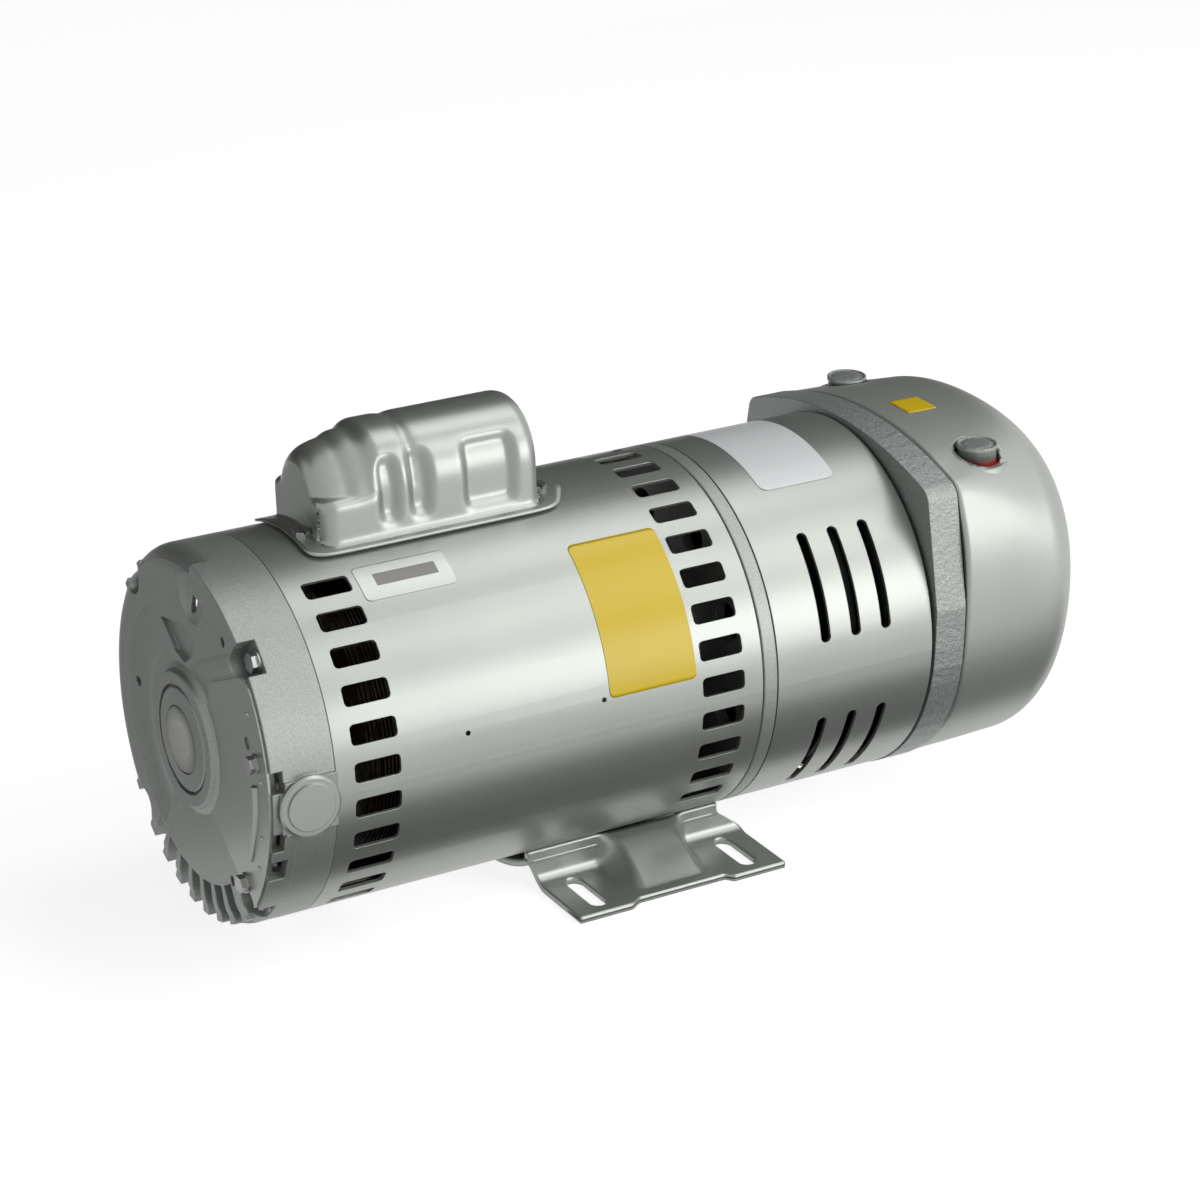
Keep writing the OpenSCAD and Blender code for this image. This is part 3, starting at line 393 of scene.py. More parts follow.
@dataclass(frozen=True)
class HubMoulding(Finish):
    """Translucent moulded cap, paler where it is thin around the shaft's end.

    Attributes:
        body: Colour of the ring around the thin middle.
        rim: Colour of the outer ring.
    """

    colour: Colour = (0.90, 0.93, 0.83)
    roughness: float = 0.34
    body: Colour = (0.55, 0.58, 0.53)
    rim: Colour = (0.26, 0.28, 0.27)

    def build(self) -> bpy.types.Material:
        """Make the material.

        The colour follows the distance from the shaft's axis: the length of x and z from the
        shaft, as a share of 25 mm.

        Returns:
            A smooth moulding in three soft rings.
        """
        g = Graph.named(self.name)
        place = (0.0, 0.0, -SHAFT_HEIGHT * MM)
        across = g.node("VectorMath", {0: g.coords, 1: place}, operation="ADD").outputs[0]
        flat = g.node("VectorMath", {0: across, 1: (40.0, 0.0, 40.0)}, operation="MULTIPLY")
        share = g.node("VectorMath", {0: flat.outputs[0]}, operation="LENGTH").outputs["Value"]
        tint = g.ramp(share, (0.30, 0.52), self.colour, self.body)
        outer = g.ramp(share, (0.50, 0.62), (0, 0, 0), (1, 1, 1))
        blend = g.node("MixRGB", {"Fac": outer, "Color1": tint, "Color2": (*self.rim, 1)})
        grain = g.noise(500.0, 2.0)
        rough = g.spread(grain, self.roughness, 0.04)
        normal = g.bump(grain, 0.00001)
        return g.surface(Base_Color=blend.outputs[0], Roughness=rough, Normal=normal)


@dataclass(frozen=True)
class Film(Finish):
    """A blank printed label: one even colour under a thin clear layer.

    Attributes:
        metallic: Share of foil in the print.
    """

    roughness: float = 0.3
    metallic: float = 0.0

    def build(self) -> bpy.types.Material:
        """Make the material.

        Returns:
            An even surface whose gloss varies very slightly.
        """
        g = Graph.named(self.name)
        rough = g.spread(g.noise(300.0, 2.0), self.roughness, 0.03)
        colour = g.node("RGB").outputs[0]
        colour.default_value = (*self.colour, 1)
        return g.surface(Base_Color=colour, Roughness=rough, Metallic=self.metallic)


@dataclass(frozen=True)
class Strands(Finish):
    """Varnished wire wound around the shaft's direction.

    Attributes:
        per_metre: Wires per metre along the shaft.
    """

    colour: Colour = (0.045, 0.022, 0.012)
    roughness: float = 0.35
    per_metre: float = 180.0

    def build(self) -> bpy.types.Material:
        """Make the material.

        Returns:
            A surface of parallel strands with dark gaps.
        """
        g = Graph.named(self.name)
        links = {"Vector": g.coords, "Scale": self.per_metre, "Distortion": 1.6, "Detail": 2.0}
        wave = g.node("TexWave", links, bands_direction="Y").outputs[0]
        tint = g.ramp(wave, (0.15, 0.8), scaled(self.colour, 0.22), self.colour)
        return g.surface(Base_Color=tint, Roughness=self.roughness,
                         Normal=g.bump(wave, 0.0006), Metallic=0.35)


FINISHES = {
    "shell": Paint("rolled_shell_paint"),
    "pressed": Paint("pressed_cover_paint", roughness=0.33, grain_scale=1400),
    "spun": Paint("end_cover_paint", (0.43, 0.45, 0.42), 0.44),
    "bell": SandCast("end_bell_paint", (0.37, 0.39, 0.37), depth=0.00008, sparkle=0.22),
    "cast": SandCast("pump_plate_paint", (0.35, 0.37, 0.355), depth=0.0005, sparkle=0.35),
    "iron": BareMetal("bare_cast_iron", (0.10, 0.10, 0.10), 0.5),
    "plated": BareMetal("plated_fastener", (0.42, 0.43, 0.42), 0.36),
    "ground": BareMetal("ground_steel", (0.55, 0.56, 0.57), 0.24, (1, 12, 1)),
    "laminated": BareMetal("laminations", (0.15, 0.14, 0.13), 0.45, (0.1, 3, 0.1)),
    "strands": Strands("varnished_windings"),
    "black": Moulding("black_moulding"),
    "board": Moulding("pressed_board", (0.16, 0.09, 0.045), grain=0.00006),
    "pale": HubMoulding("pale_plastic"),
    "carbon": Moulding("carbon_vane", (0.035, 0.035, 0.038), 0.3),
    "rubber": Moulding("gasket_rubber", (0.012, 0.012, 0.013), 0.7),
    "felt": Moulding("pressed_felt", (0.55, 0.52, 0.44), 0.95, 0.0004),
    "white": Film("white_label", (0.90, 0.92, 0.93)),
    "yellow": Film("yellow_label", (0.86, 0.62, 0.012)),
    "silver": Film("silver_label", (0.42, 0.44, 0.42), metallic=0.6),
    "strip": Film("grey_strip", (0.27, 0.26, 0.24)),
    "red": Moulding("red_thread_plug", (0.36, 0.03, 0.02), 0.32),
}

NODE_FINISHES = {
    "shell": ["motor_shell", "pump_shroud"],
    "pressed": ["terminal_cover", "conduit_plug", "foot", "capacitor_cover"],
    "bell": ["end_bell", "drive_bracket"],
    "cast": ["dead_end_plate", "inlet_plug", "exhaust_plug"],
    "spun": ["end_cover"],
    "iron": ["near_end_plate", "pump_body", "pump_rotor"],
    "plated": ["through_bolts", "terminal_cover_screws", "capacitor_cover_screws", "cover_bolts",
               "body_bolts", "near_plate_screws", "rotor_screw", "rotor_key", "wave_washer",
               "switch_governor"],
    "ground": ["shaft", "rear_bearing_outer", "rear_bearing_inner", "rear_bearing_balls",
               "front_bearing_outer", "front_bearing_inner", "front_bearing_balls",
               "rotor_end_rings"],
    "laminated": ["stator_core", "rotor_core"],
    "strands": ["stator_windings"],
    "black": ["pump_fan", "switch_collar", "start_capacitor"],
    "board": ["terminal_board", "switch_board"],
    "pale": ["hub_cap"],
    "carbon": ["vane_1", "vane_2", "vane_3", "vane_4"],
    "rubber": ["cover_gasket", "body_seal_ring"],
    "felt": ["intake_felt", "exhaust_felt"],
    "white": ["labels"],
}


def dress_nodes(nodes: dict[str, bpy.types.Object], palette: Palette) -> None:
    """Give every CAD node its finish.

    Args:
        nodes: CAD node name to object.
        palette: The pump's materials.
    """
    for finish, names in NODE_FINISHES.items():
        for slot in [slot for name in names for slot in nodes[name].material_slots]:
            slot.material = palette[finish]
    dressed = {name for names in NODE_FINISHES.values() for name in names}
    LOG.info("nodes without a finish: %s", sorted(set(nodes) - dressed))


# Surfaces


@dataclass
class Sheet:
    """A grid of points that becomes one mesh.

    Attributes:
        points: Array of shape (rows, columns, 3), in millimetres, in the row frame.
        wrap_rows: Whether the last row joins the first.
        wrap_columns: Whether the last column joins the first.
    """

    points: np.ndarray
    wrap_rows: bool = False
    wrap_columns: bool = False

    def faces(self) -> np.ndarray:
        """Quads of the grid: each joins a point to its right, upper right and upper neighbours.

        Returns:
            Array of shape (quads, 4) of vertex numbers.
        """
        rows, cols = self.points.shape[:2]
        r = np.arange(rows if self.wrap_rows else rows - 1)[:, None]
        c = np.arange(cols if self.wrap_columns else cols - 1)[None, :]
        r2, c2 = (r + 1) % rows, (c + 1) % cols
        quads = np.stack([r * cols + c, r * cols + c2, r2 * cols + c2, r2 * cols + c], axis=-1)
        return quads.reshape(-1, 4)


def mesh_object(name: str, sheets: list[Sheet], finish: bpy.types.Material) -> bpy.types.Object:
    """Join grids into one smooth-shaded object at the origin.

    Points closer than MERGE are joined, which closes seams and poles. Corners of a quad that fall
    together are dropped, so a quad at a pole becomes a triangle.

    Args:
        name: Name of the object.
        sheets: The grids, in millimetres.
        finish: Material of the object.

    Returns:
        The new object.
    """
    vertices = np.concatenate([s.points.reshape(-1, 3) for s in sheets])
    starts = np.cumsum([0] + [s.points.shape[0] * s.points.shape[1] for s in sheets[:-1]])
    quads = np.concatenate([s.faces() + start for s, start in zip(sheets, starts)])
    keys = np.round(vertices / MERGE).astype(np.int64)
    first, back = np.unique(keys, axis=0, return_index=True, return_inverse=True)[1:]
    quads = back.reshape(-1)[quads]
    kept = quads != np.roll(quads, -1, axis=1)
    whole = kept.sum(axis=1) >= 3
    loops = quads[whole][kept[whole]]
    sizes = kept[whole].sum(axis=1)
    mesh = bpy.data.meshes.new(name)
    mesh.vertices.add(len(first))
    mesh.vertices.foreach_set("co", (vertices[first] * MM).ravel())
    mesh.loops.add(len(loops))
    mesh.loops.foreach_set("vertex_index", loops)
    mesh.polygons.add(len(sizes))
    mesh.polygons.foreach_set("loop_start", np.cumsum(sizes) - sizes)
    mesh.update(calc_edges=True)
    mesh.validate()
    mesh.shade_smooth()
    mesh.materials.append(finish)
    made = bpy.data.objects.new(name, mesh)
    bpy.context.scene.collection.objects.link(made)
    return made


def solid(name: str, sheets: list[Sheet], finish: bpy.types.Material) -> bpy.types.Object:
    """Join closed grids into one object whose faces point outwards.

    Args:
        name: Name of the object.
        sheets: The closed grids.
        finish: Material of the object.

    Returns:
        The new object.
    """
    made = mesh_object(name, sheets, finish)
    work = bmesh.new()
    work.from_mesh(made.data)
    bmesh.ops.recalc_face_normals(work, faces=work.faces)
    work.to_mesh(made.data)
    work.free()
    return made


def walled(name: str, sheets: list[Sheet], finish: bpy.types.Material,
           thickness: float) -> bpy.types.Object:
    """Join open grids into one object with a wall on the side away from their normals.

    Args:
        name: Name of the object.
        sheets: The open grids.
        finish: Material of the object.
        thickness: Wall in millimetres.

    Returns:
        The new object.
    """
    made = mesh_object(name, sheets, finish)
    wall = made.modifiers.new("wall", "SOLIDIFY")
    wall.thickness, wall.offset = thickness * MM, -1
    return made


def cut(piece: bpy.types.Object, tool: Sheet) -> None:
    """Apply a piece's modifiers and cut a closed shape out of it.

    Args:
        piece: The piece to cut.
        tool: The shape that is taken away.
    """
    drill = solid("drill", [tool], piece.data.materials[0])
    hole = piece.modifiers.new("hole", "BOOLEAN")
    hole.operation, hole.object, hole.solver = "DIFFERENCE", drill, "EXACT"
    bpy.context.view_layer.objects.active = piece
    for modifier in list(piece.modifiers):
        bpy.ops.object.modifier_apply(modifier=modifier.name)
    bpy.data.objects.remove(drill)


def lathe(profile: list[Span], centre: Point) -> Sheet:
    """Turn a profile of (radius, height) around the upright axis through a centre.

    Each point goes to centre + (radius * cos t, radius * sin t, height).

    Args:
        profile: Points of (radius, height) in millimetres.
        centre: Centre in millimetres.

    Returns:
        The turned grid.
    """
    t = np.linspace(0, 2 * np.pi, LATHE_STEPS, endpoint=False)
    r, h = np.array(profile, float).T[..., None]
    turned = np.stack([r * np.cos(t), r * np.sin(t), h + 0 * t], axis=-1)
    return Sheet(turned + np.array(centre), wrap_columns=True)


def about_shaft(angle: np.ndarray, station: np.ndarray, radius: np.ndarray | float) -> np.ndarray:
    """Points about the shaft.

    x is radius * cos(angle), z is the shaft height + radius * sin(angle), y is the station.

    Args:
        angle: Angles in radians from +X towards +Z.
        station: Places along the shaft in millimetres.
        radius: Distances from the shaft in millimetres.

    Returns:
        Array with a last axis of x, y and z.
    """
    height = SHAFT_HEIGHT + radius * np.sin(angle)
    return np.stack(np.broadcast_arrays(radius * np.cos(angle), station, height), axis=-1)


def superellipse(centre: Span, half: Span, power: float, steps: int = 240) -> np.ndarray:
    """A rounded rectangle as one curve.

    The point at angle t lies at half * (cos t, sin t) * (|cos t|^power + |sin t|^power)^(-1/power).

    Args:
        centre: Centre of the curve.
        half: Half of its width and of its length.
        power: 2 is an ellipse; larger is squarer.
        steps: Number of points.

    Returns:
        Array of shape (steps, 2).
    """
    t = np.linspace(0, 2 * np.pi, steps, endpoint=False)
    unit = np.stack([np.cos(t), np.sin(t)], axis=-1)
    reach = (np.abs(unit) ** power).sum(axis=1) ** (-1 / power)
    return np.array(centre) + np.array(half) * unit * reach[:, None]


def smooth(x: np.ndarray | float, low: float, high: float) -> np.ndarray | float:
    """Ease from 0 at low to 1 at high, as 3t^2 - 2t^3.

    Args:
        x: Values to test.
        low: Where the ease starts.
        high: Where it ends.

    Returns:
        The eased values.
    """
    t = np.clip((x - low) / (high - low), 0, 1)
    return t * t * (3 - 2 * t)


def run_length(points: np.ndarray) -> np.ndarray:
    """Distance along a row of points, from 0 at the first.

    Args:
        points: Array of shape (points, 2).

    Returns:
        The distance of each point.
    """
    return np.concatenate([[0], np.cumsum(np.hypot(*np.diff(points, axis=0).T))])


def tangent_angle(p: np.ndarray, r: float, q: np.ndarray, s: float) -> float:
    """Direction of the outer tangent's normal between two circles.

    The normal leans from the line of centres by the arc cosine of (r - s) over their distance.

    Args:
        p: Centre of the first circle.
        r: Its radius.
        q: Centre of the second circle.
        s: Its radius.

    Returns:
        The angle in radians.
    """
    d = q - p
    return math.atan2(d[1], d[0]) - math.acos((r - s) / float(np.hypot(*d)))


@dataclass(frozen=True)
class PumpOutline:
    """End-on outline of the end cover: arcs that meet in tangents.

    Attributes:
        low_radius: Radius of the round bottom.
        side_radius: Radius of the shoulder arcs.
        side_centre: Centre of the right shoulder arc.
        corner: Radius of the upper corners.
        corner_x: Offset of an upper corner's centre.
        top_radius: Radius of the arched top.
        top: Height of the arch over the shaft.
    """

    low_radius: float = 82.5
    side_radius: float = 12.0
    side_centre: Span = (70.8, 16.0)
    corner: float = 8.0
    corner_x: float = 65.4
    top_radius: float = 194.0
    top: float = 84.0

    def points(self, steps: int = 44) -> np.ndarray:
        """Trace the outline, each arc as centre + radius * (cos, sin).

        Args:
            steps: Points along each long arc.

        Returns:
            Array of (x, z) points, once around.
        """
        crown, reach = self.top - self.top_radius, self.top_radius - self.corner
        low, side = np.zeros(2), np.array(self.side_centre)
        upper = np.array([self.corner_x, crown + math.sqrt(reach**2 - self.corner_x**2)])
        a_low = tangent_angle(low, self.low_radius, side, self.side_radius)
        a_side = tangent_angle(side, self.side_radius, upper, self.corner)
        a_top = math.atan2(upper[1] - crown, upper[0])
        arcs = [(low, self.low_radius, -math.pi / 2, a_low, steps),
                (side, self.side_radius, a_low, a_side, steps // 4),
                (upper, self.corner, a_side, a_top, steps // 2),
                (np.array([0, crown]), self.top_radius, a_top, math.pi / 2, steps // 2)]
        pieces = []
        for centre, r, a0, a1, n in arcs:
            a = np.linspace(a0, a1, n + 1)[:-1]
            pieces.append(centre + r * np.stack([np.cos(a), np.sin(a)], axis=-1))
        right = np.concatenate(pieces + [np.array([[0, self.top]])])
        return np.concatenate([right, right[::-1][1:-1] * np.array([-1, 1])])


# Pieces of the pump


@dataclass
class EndCover:
    """The deep-drawn cover over the filters, with its two tapped ports.

    Attributes:
        outline: Outline of the pump end.
        start: Station of the cover's rim.
        end: Station of its far face.
        edge: Radius of the far edge.
        wall: Thickness of the metal.
        draft: Inset of the wall where the edge starts.
        blurs: Spread of the upper corners at the rim, the edge and the far face, in degrees.
        side_blur: Least spread away from the upper corners, in degrees.
        setback: Inset of the cover's rim from the plate's.
        corner_angle: Direction of an upper corner from the shaft, in degrees.
        corner_width: Spread of the corner's own blur to each side, in degrees.
        port_x: Offset of each port.
        port_y: Station of the ports.
        port_radius: Radius of the port holes.
        seat_radius: Radius of the wider seat over each hole.
        seat_depth: Depth of the seat's ledge.
        boss_depths: Depths of the boss's lower and upper face under the cover's top.
        boss_wall: Wall of the boss around the seat.
    """

    outline: PumpOutline = PumpOutline()
    start: float = 145.0
    end: float = 211.5
    edge: float = 21.0
    wall: float = 3.5
    draft: float = 0.8
    blurs: Point = (0.8, 14.0, 20.0)
    side_blur: float = 7.0
    setback: float = 0.75
    corner_angle: float = 44.6
    corner_width: float = 10.0
    port_x: float = 52.0
    port_y: float = 169.0
    port_radius: float = 9.3
    seat_radius: float = 10.5
    seat_depth: float = 7.5
    boss_depths: Span = (17.0, 5.2)
    boss_wall: float = 3.5

    def port(self, side: int, lift: float = 0.0) -> Point:
        """Where the top of the cover is at a port, or a point over or under it.

        Args:
            side: -1 or 1.
            lift: Height over the cover's top.

        Returns:
            The point in millimetres.
        """
        reach = self.outline.top_radius
        top = self.outline.top - reach + math.sqrt(reach**2 - self.port_x**2)
        return side * self.port_x, self.port_y, SHAFT_HEIGHT + top + lift

    def course(self, t: np.ndarray) -> tuple[np.ndarray, np.ndarray]:
        """Blur and inset along the straight wall, which grow as t^1.5 and as t^2.

        Args:
            t: 0 at the rim to 1 where the edge starts.

        Returns:
            Blurs in degrees and insets in millimetres.
        """
        rim, edge = self.blurs[:2]
        return rim + (edge - rim) * t**1.5, self.draft * t * t

    def radii(self, blurs: np.ndarray) -> np.ndarray:
        """Distances of the outline from the shaft, one row for each blur.

        The radius over the angle is blurred by a Gaussian: its Fourier term m is multiplied by
        exp(-(m * blur)^2 / 2). Away from the upper corners the blur is at least side_blur, and
        the two blend by exp(-(distance / corner_width)^2).

        Args:
            blurs: Blur of each row in degrees.

        Returns:
            Array of shape (rows, directions of TURN).
        """
        trace = self.outline.points()
        direction = np.arctan2(trace[:, 1], trace[:, 0])
        terms = np.fft.rfft(np.interp(TURN, direction, np.hypot(*trace.T), period=2 * np.pi))
        order = np.arange(len(terms))
        near, broad = (
            np.fft.irfft(terms * np.exp(-((order * np.radians(b)[:, None]) ** 2) / 2), len(TURN))
            for b in (blurs, np.maximum(blurs, self.side_blur)))
        corner = np.radians(90 - self.corner_angle)
        off = np.degrees(np.abs(np.abs(TURN - np.pi / 2) - corner))
        sharp = np.exp(-((off / self.corner_width) ** 2))
        return near * sharp + broad * (1 - sharp) - self.setback

    def sections(self) -> np.ndarray:
        """Outline sections from the rim to the middle of the far face.

        On the rounded edge the inset is edge * (1 - cos f) and the station end - edge +
        edge * sin f. The last sections shrink onto the middle of the face.

        Returns:
            Array of shape (sections, points, 3).
        """
        run = self.end - self.edge
        t, f = np.linspace(0, 1, 17)[:-1], np.linspace(0, math.pi / 2, 21)
        blur, inset = self.course(t)
        station = np.concatenate([self.start + (run - self.start) * t, run + self.edge * np.sin(f)])
        inset = np.concatenate([inset, self.draft + self.edge * (1 - np.cos(f))])
        blur = np.concatenate([blur, self.blurs[1] + (self.blurs[2] - self.blurs[1]) * np.sin(f)])
        rings = about_shaft(TURN, station[:, None], self.radii(blur) - inset[:, None])
        share = np.array([0.85, 0.6, 0.3, 0.0])[:, None, None]
        middle = np.array([0.0, self.end, 2.0 + SHAFT_HEIGHT])
        return np.concatenate([rings, middle + (rings[-1] - middle) * share])

    def build(self, palette: Palette) -> list[bpy.types.Object]:
        """Make the cover as a closed wall, cut its ports and set the bosses under them.

        Args:
            palette: The pump's materials.

        Returns:
            The cover and its bosses.
        """
        outer, centre = self.sections(), np.array([0, SHAFT_HEIGHT])
        inner = outer.copy()
        mean_reach = 80
        inner[..., ::2] = centre + (outer[..., ::2] - centre) * (1 - self.wall / mean_reach)
        inner[..., 1] = np.minimum(outer[..., 1], self.end - self.wall)
        skin = Sheet(np.concatenate([inner[::-1], outer]), wrap_columns=True)
        cover = solid("end_cover_skin", [skin], palette["spun"])
        hole = [(0, 0), (self.seat_radius, 0), (self.seat_radius, 40), (0, 40)]
        for side in (-1, 1):
            cut(cover, lathe(hole, (side * self.port_x, self.port_y, SHAFT_HEIGHT + 55)))
        return [cover, solid("end_cover_bosses", [self.boss(-1), self.boss(1)], palette["spun"])]

    def boss(self, side: int) -> Sheet:
        """The ring under one port, which carries the ledge and the tapped hole.

        Args:
            side: -1 or 1.

        Returns:
            A closed ring, turned about the port's axis.
        """
        outer, hole, seat = self.seat_radius + self.boss_wall, self.port_radius, self.seat_radius
        low, top = self.boss_depths
        ring = [(hole, -low), (outer, -low), (outer, -top), (seat, -top), (seat, -self.seat_depth),
                (hole, -self.seat_depth)]
        turned = lathe(ring, self.port(side))
        turned.wrap_rows = True
        return turned


@dataclass
class CapacitorCover:
    """The pressed cover over the start capacitor: a barrel with a stepped nose on a flange.

    Attributes:
        turn: Turn of the cover about the shaft, in degrees.
        barrel_radius: Radius of the barrel.
        barrel_height: Height of the barrel's centre over the shaft.
        nose_y: Station of the nose's end wall.
        back_y: Station of the barrel's end wall.
        corner: Radius of the upright corners.
        wall: Thickness of the sheet.
        recesses: Station, half length, height, half height, depth and power of each recess.
        front: Height share and lean of the rows down to the flange at the nose.
        back: Height share and lean of the rows down to the flange at the barrel.
    """

    turn: float = 3.5
    barrel_radius: float = 24.8
    barrel_height: float = 98.3
    nose_y: float = -137.5
    back_y: float = -36.0
    corner: float = 5.0
    wall: float = 1.2
    recesses: tuple = ((-106.9, 5.0, 98.6, 14.4, 3.4, 5), (-92.5, 5.4, 99.0, 14.6, 3.4, 5),
                       (-59.6, 12.6, 98.2, 14.6, 2.9, 9))
    front: tuple = ((0.0, -1.8), (0.03, -0.8), (0.12, -0.2), (0.4, 0.0), (0.75, 0.0))
    back: tuple = ((0.75, 0.0), (0.4, 0.0), (0.12, 0.0), (0.03, 0.6), (0.0, 1.5))

    @staticmethod
    def dome_drop(y: float) -> float:
        """How far the dome lies inside the barrel's radius: a shallow groove, then soft steps.

        Args:
            y: Station.

        Returns:
            The drop in millimetres, 0 on the barrel.
        """
        groove = 0.9 * math.exp(-(((y + 94.5) / 2.4) ** 2))
        steps = ((3.0, -114.5, -109.5), (2.2, -124.5, -120.0), (3.4, -140.0, -124.0))
        return groove + sum(drop * (1 - smooth(y, low, high)) for drop, low, high in steps)

    def section(self, y: float, inset: float) -> np.ndarray:
        """Cross-section from the near flange over the top to the far flange.

        Walls rise straight to the shelf. Above it the dome follows radius * (sin, cos) about the
        barrel's centre, drawn in towards a gable on the nose.

        Args:
            y: Station of the section.
            inset: Distance inside the full section, for the rounded ends.

        Returns:
            Array of (x, z) points in the cover's own frame, z over the shaft.
        """
        half, drop = self.barrel_radius - inset, self.dome_drop(y)
        base = math.sqrt((SHELL_RADIUS + self.wall) ** 2 - (half + 2) ** 2)
        nose = 1 - smooth(y, -122.0, -110.0)
        shelf = self.barrel_height - 1.5 * nose
        t = np.linspace(0, math.pi, 49)
        power = 1 + 0.18 * nose
        x = np.sign(np.cos(t)) * np.abs(np.cos(t)) ** power * (half - 0.7 * drop - 1.2 * nose)
        z = shelf + 2.0 * nose + np.sin(t) ** power * (half - drop - 0.5 * nose)
        rise = np.linspace(0, 1, 14)[:, None]
        wall = np.array([half, base + 1.5]) * (1 - rise) + np.array([half, shelf - 1.2]) * rise
        foot = np.array([[half + 2.0, base], [half + 1.1, base + 0.25], [half + 0.4, base + 0.8]])
        lip = np.array([[half - 0.2 * nose, shelf - 0.3], [half - 0.7 * nose, shelf + 0.6 * nose]])
        near = np.concatenate([foot, wall, lip])
        return np.concatenate([near, np.stack([x, z], axis=-1), near[::-1] * np.array([-1, 1])])

    def emboss(self, points: np.ndarray) -> np.ndarray:
        """Press the upright recesses and the window into both side walls.

        With u and v as the shares of a recess's half sizes and p as its power, its depth eases
        out where (u^p + v^p)^(1/p) nears 1.

        Args:
            points: Array of (x, y, z) in the cover's frame.

        Returns:
            The pressed points.
        """
        x, y, z = np.moveaxis(points, -1, 0)
        depth = np.zeros_like(x)
        for y0, half_y, z0, half_z, d, power in self.recesses:
            u, v = np.abs((y - y0) / half_y), np.abs((z - z0) / half_z)
            reach = (u**power + v**power) ** (1 / power)
            depth = np.maximum(depth, d * (1 - smooth(reach, 0.55 + 0.035 * power, 1.0)))
        pressed = points.copy()
        pressed[..., 0] = np.sign(x) * np.maximum(np.abs(x) - depth, 0)
        return pressed

    @staticmethod
    def even(row: np.ndarray, count: int = 150) -> np.ndarray:
        """Space the points of a section evenly along it, linear between the old points.

        Args:
            row: Section of shape (points, 2).
            count: Number of points wanted.

        Returns:
            Section of shape (count, 2).
        """
        length = run_length(row)
        at = np.linspace(0, length[-1], count)
        return np.stack([np.interp(at, length, column) for column in row.T], axis=-1)

    @staticmethod
    def relax(grid: np.ndarray, turns: int = 9) -> np.ndarray:
        """Soften a grid as drawn sheet is: each inner point moves to the mean of its neighbours.

        Each turn takes (previous + 2 * own + next) / 4 along the rows and then along the columns.

        Args:
            grid: Array of shape (rows, columns, 3).
            turns: Number of turns.

        Returns:
            The softened grid with its border kept.
        """
        soft = grid.copy()
        for _ in range(turns):
            soft[1:-1, 1:-1] = (soft[:-2, 1:-1] + 2 * soft[1:-1, 1:-1] + soft[2:, 1:-1]) / 4
            soft[1:-1, 1:-1] = (soft[1:-1, :-2] + 2 * soft[1:-1, 1:-1] + soft[1:-1, 2:]) / 4
        return soft

    def body(self) -> np.ndarray:
        """The dome and walls as sections from the nose's end wall to the barrel's.

        The corner rows draw each section in by corner * (1 - sin f) at corner * (1 - cos f)
        behind the end wall.

        Returns:
            Array of shape (sections, points, 3) in the cover's frame.
        """
        f = np.linspace(0, math.pi / 2, 8)
        turned = [(self.corner * (1 - math.cos(a)), self.corner * (1 - math.sin(a))) for a in f]
        front = [(self.nose_y + run, inset) for run, inset in turned]
        back = [(self.back_y - run, inset) for run, inset in turned[::-1]]
        stations = np.linspace(front[-1][0], back[0][0], 150)[1:-1]
        rows = front + [(y, 0.0) for y in stations] + back
        full = np.array([np.insert(self.even(self.section(y, i)), 1, y, axis=1) for y, i in rows])
        return self.relax(self.emboss(full))

    def lowered(self, row: np.ndarray, share: float, shift: float) -> np.ndarray:
        """Bring a section down towards the shell.

        Args:
            row: One section.
            share: 1 keeps it, 0 lays it on the flange.
            shift: Move along the shaft in millimetres.

        Returns:
            The lowered section.
        """
        lying = np.sqrt(np.maximum((SHELL_RADIUS + self.wall) ** 2 - row[:, 0] ** 2, 1))
        return np.stack([row[:, 0], row[:, 1] + shift, lying + (row[:, 2] - lying) * share], axis=1)

    def build(self, palette: Palette) -> bpy.types.Object:
        """Make the cover and turn it about the shaft.

        Args:
            palette: The pump's materials.

        Returns:
            The pressed cover with its flange.
        """
        full = self.body()
        front = [self.lowered(full[0], share, shift) for share, shift in self.front]
        back = [self.lowered(full[-1], share, shift) for share, shift in self.back]
        x, y, z = np.moveaxis(np.array(front + list(full) + back), -1, 0)
        angle = np.arctan2(z, x) + math.radians(self.turn)
        dome = Sheet(about_shaft(angle, y, np.hypot(x, z)))
        sheets = [dome, self.flange()]
        return walled("capacitor_cover_skin", sheets, palette["pressed"], self.wall * 0.8)

    def flange(self) -> Sheet:
        """The flange as a ring on the shell, from the foot of the walls to a rounded outline.

        A point of the ring blends between the inner and outer outlines. Both are given as an
        arc position across the shell and a station.

        Returns:
            One closed ring.
        """
        middle, length = (self.nose_y + self.back_y) / 2, (self.back_y - self.nose_y) / 2
        inner = superellipse((0, middle), (self.barrel_radius + 1.8, length + 1.4), 14)
        outer = superellipse((0, middle - 0.5), (self.barrel_radius + 6.0, length + 9.0), 12)
        ear = 6.0 * np.exp(-(((outer[:, 0] - 15) / 9) ** 2))
        outer[:, 1] += ear * (outer[:, 1] > self.back_y)
        k = np.linspace(0, 1, 5)[:, None, None]
        arc, station = np.moveaxis(inner * (1 - k) + outer * k, -1, 0)
        r = SHELL_RADIUS + self.wall
        angle = np.radians(90 + self.turn) - arc / r
        return Sheet(about_shaft(angle, station, r), wrap_columns=True)


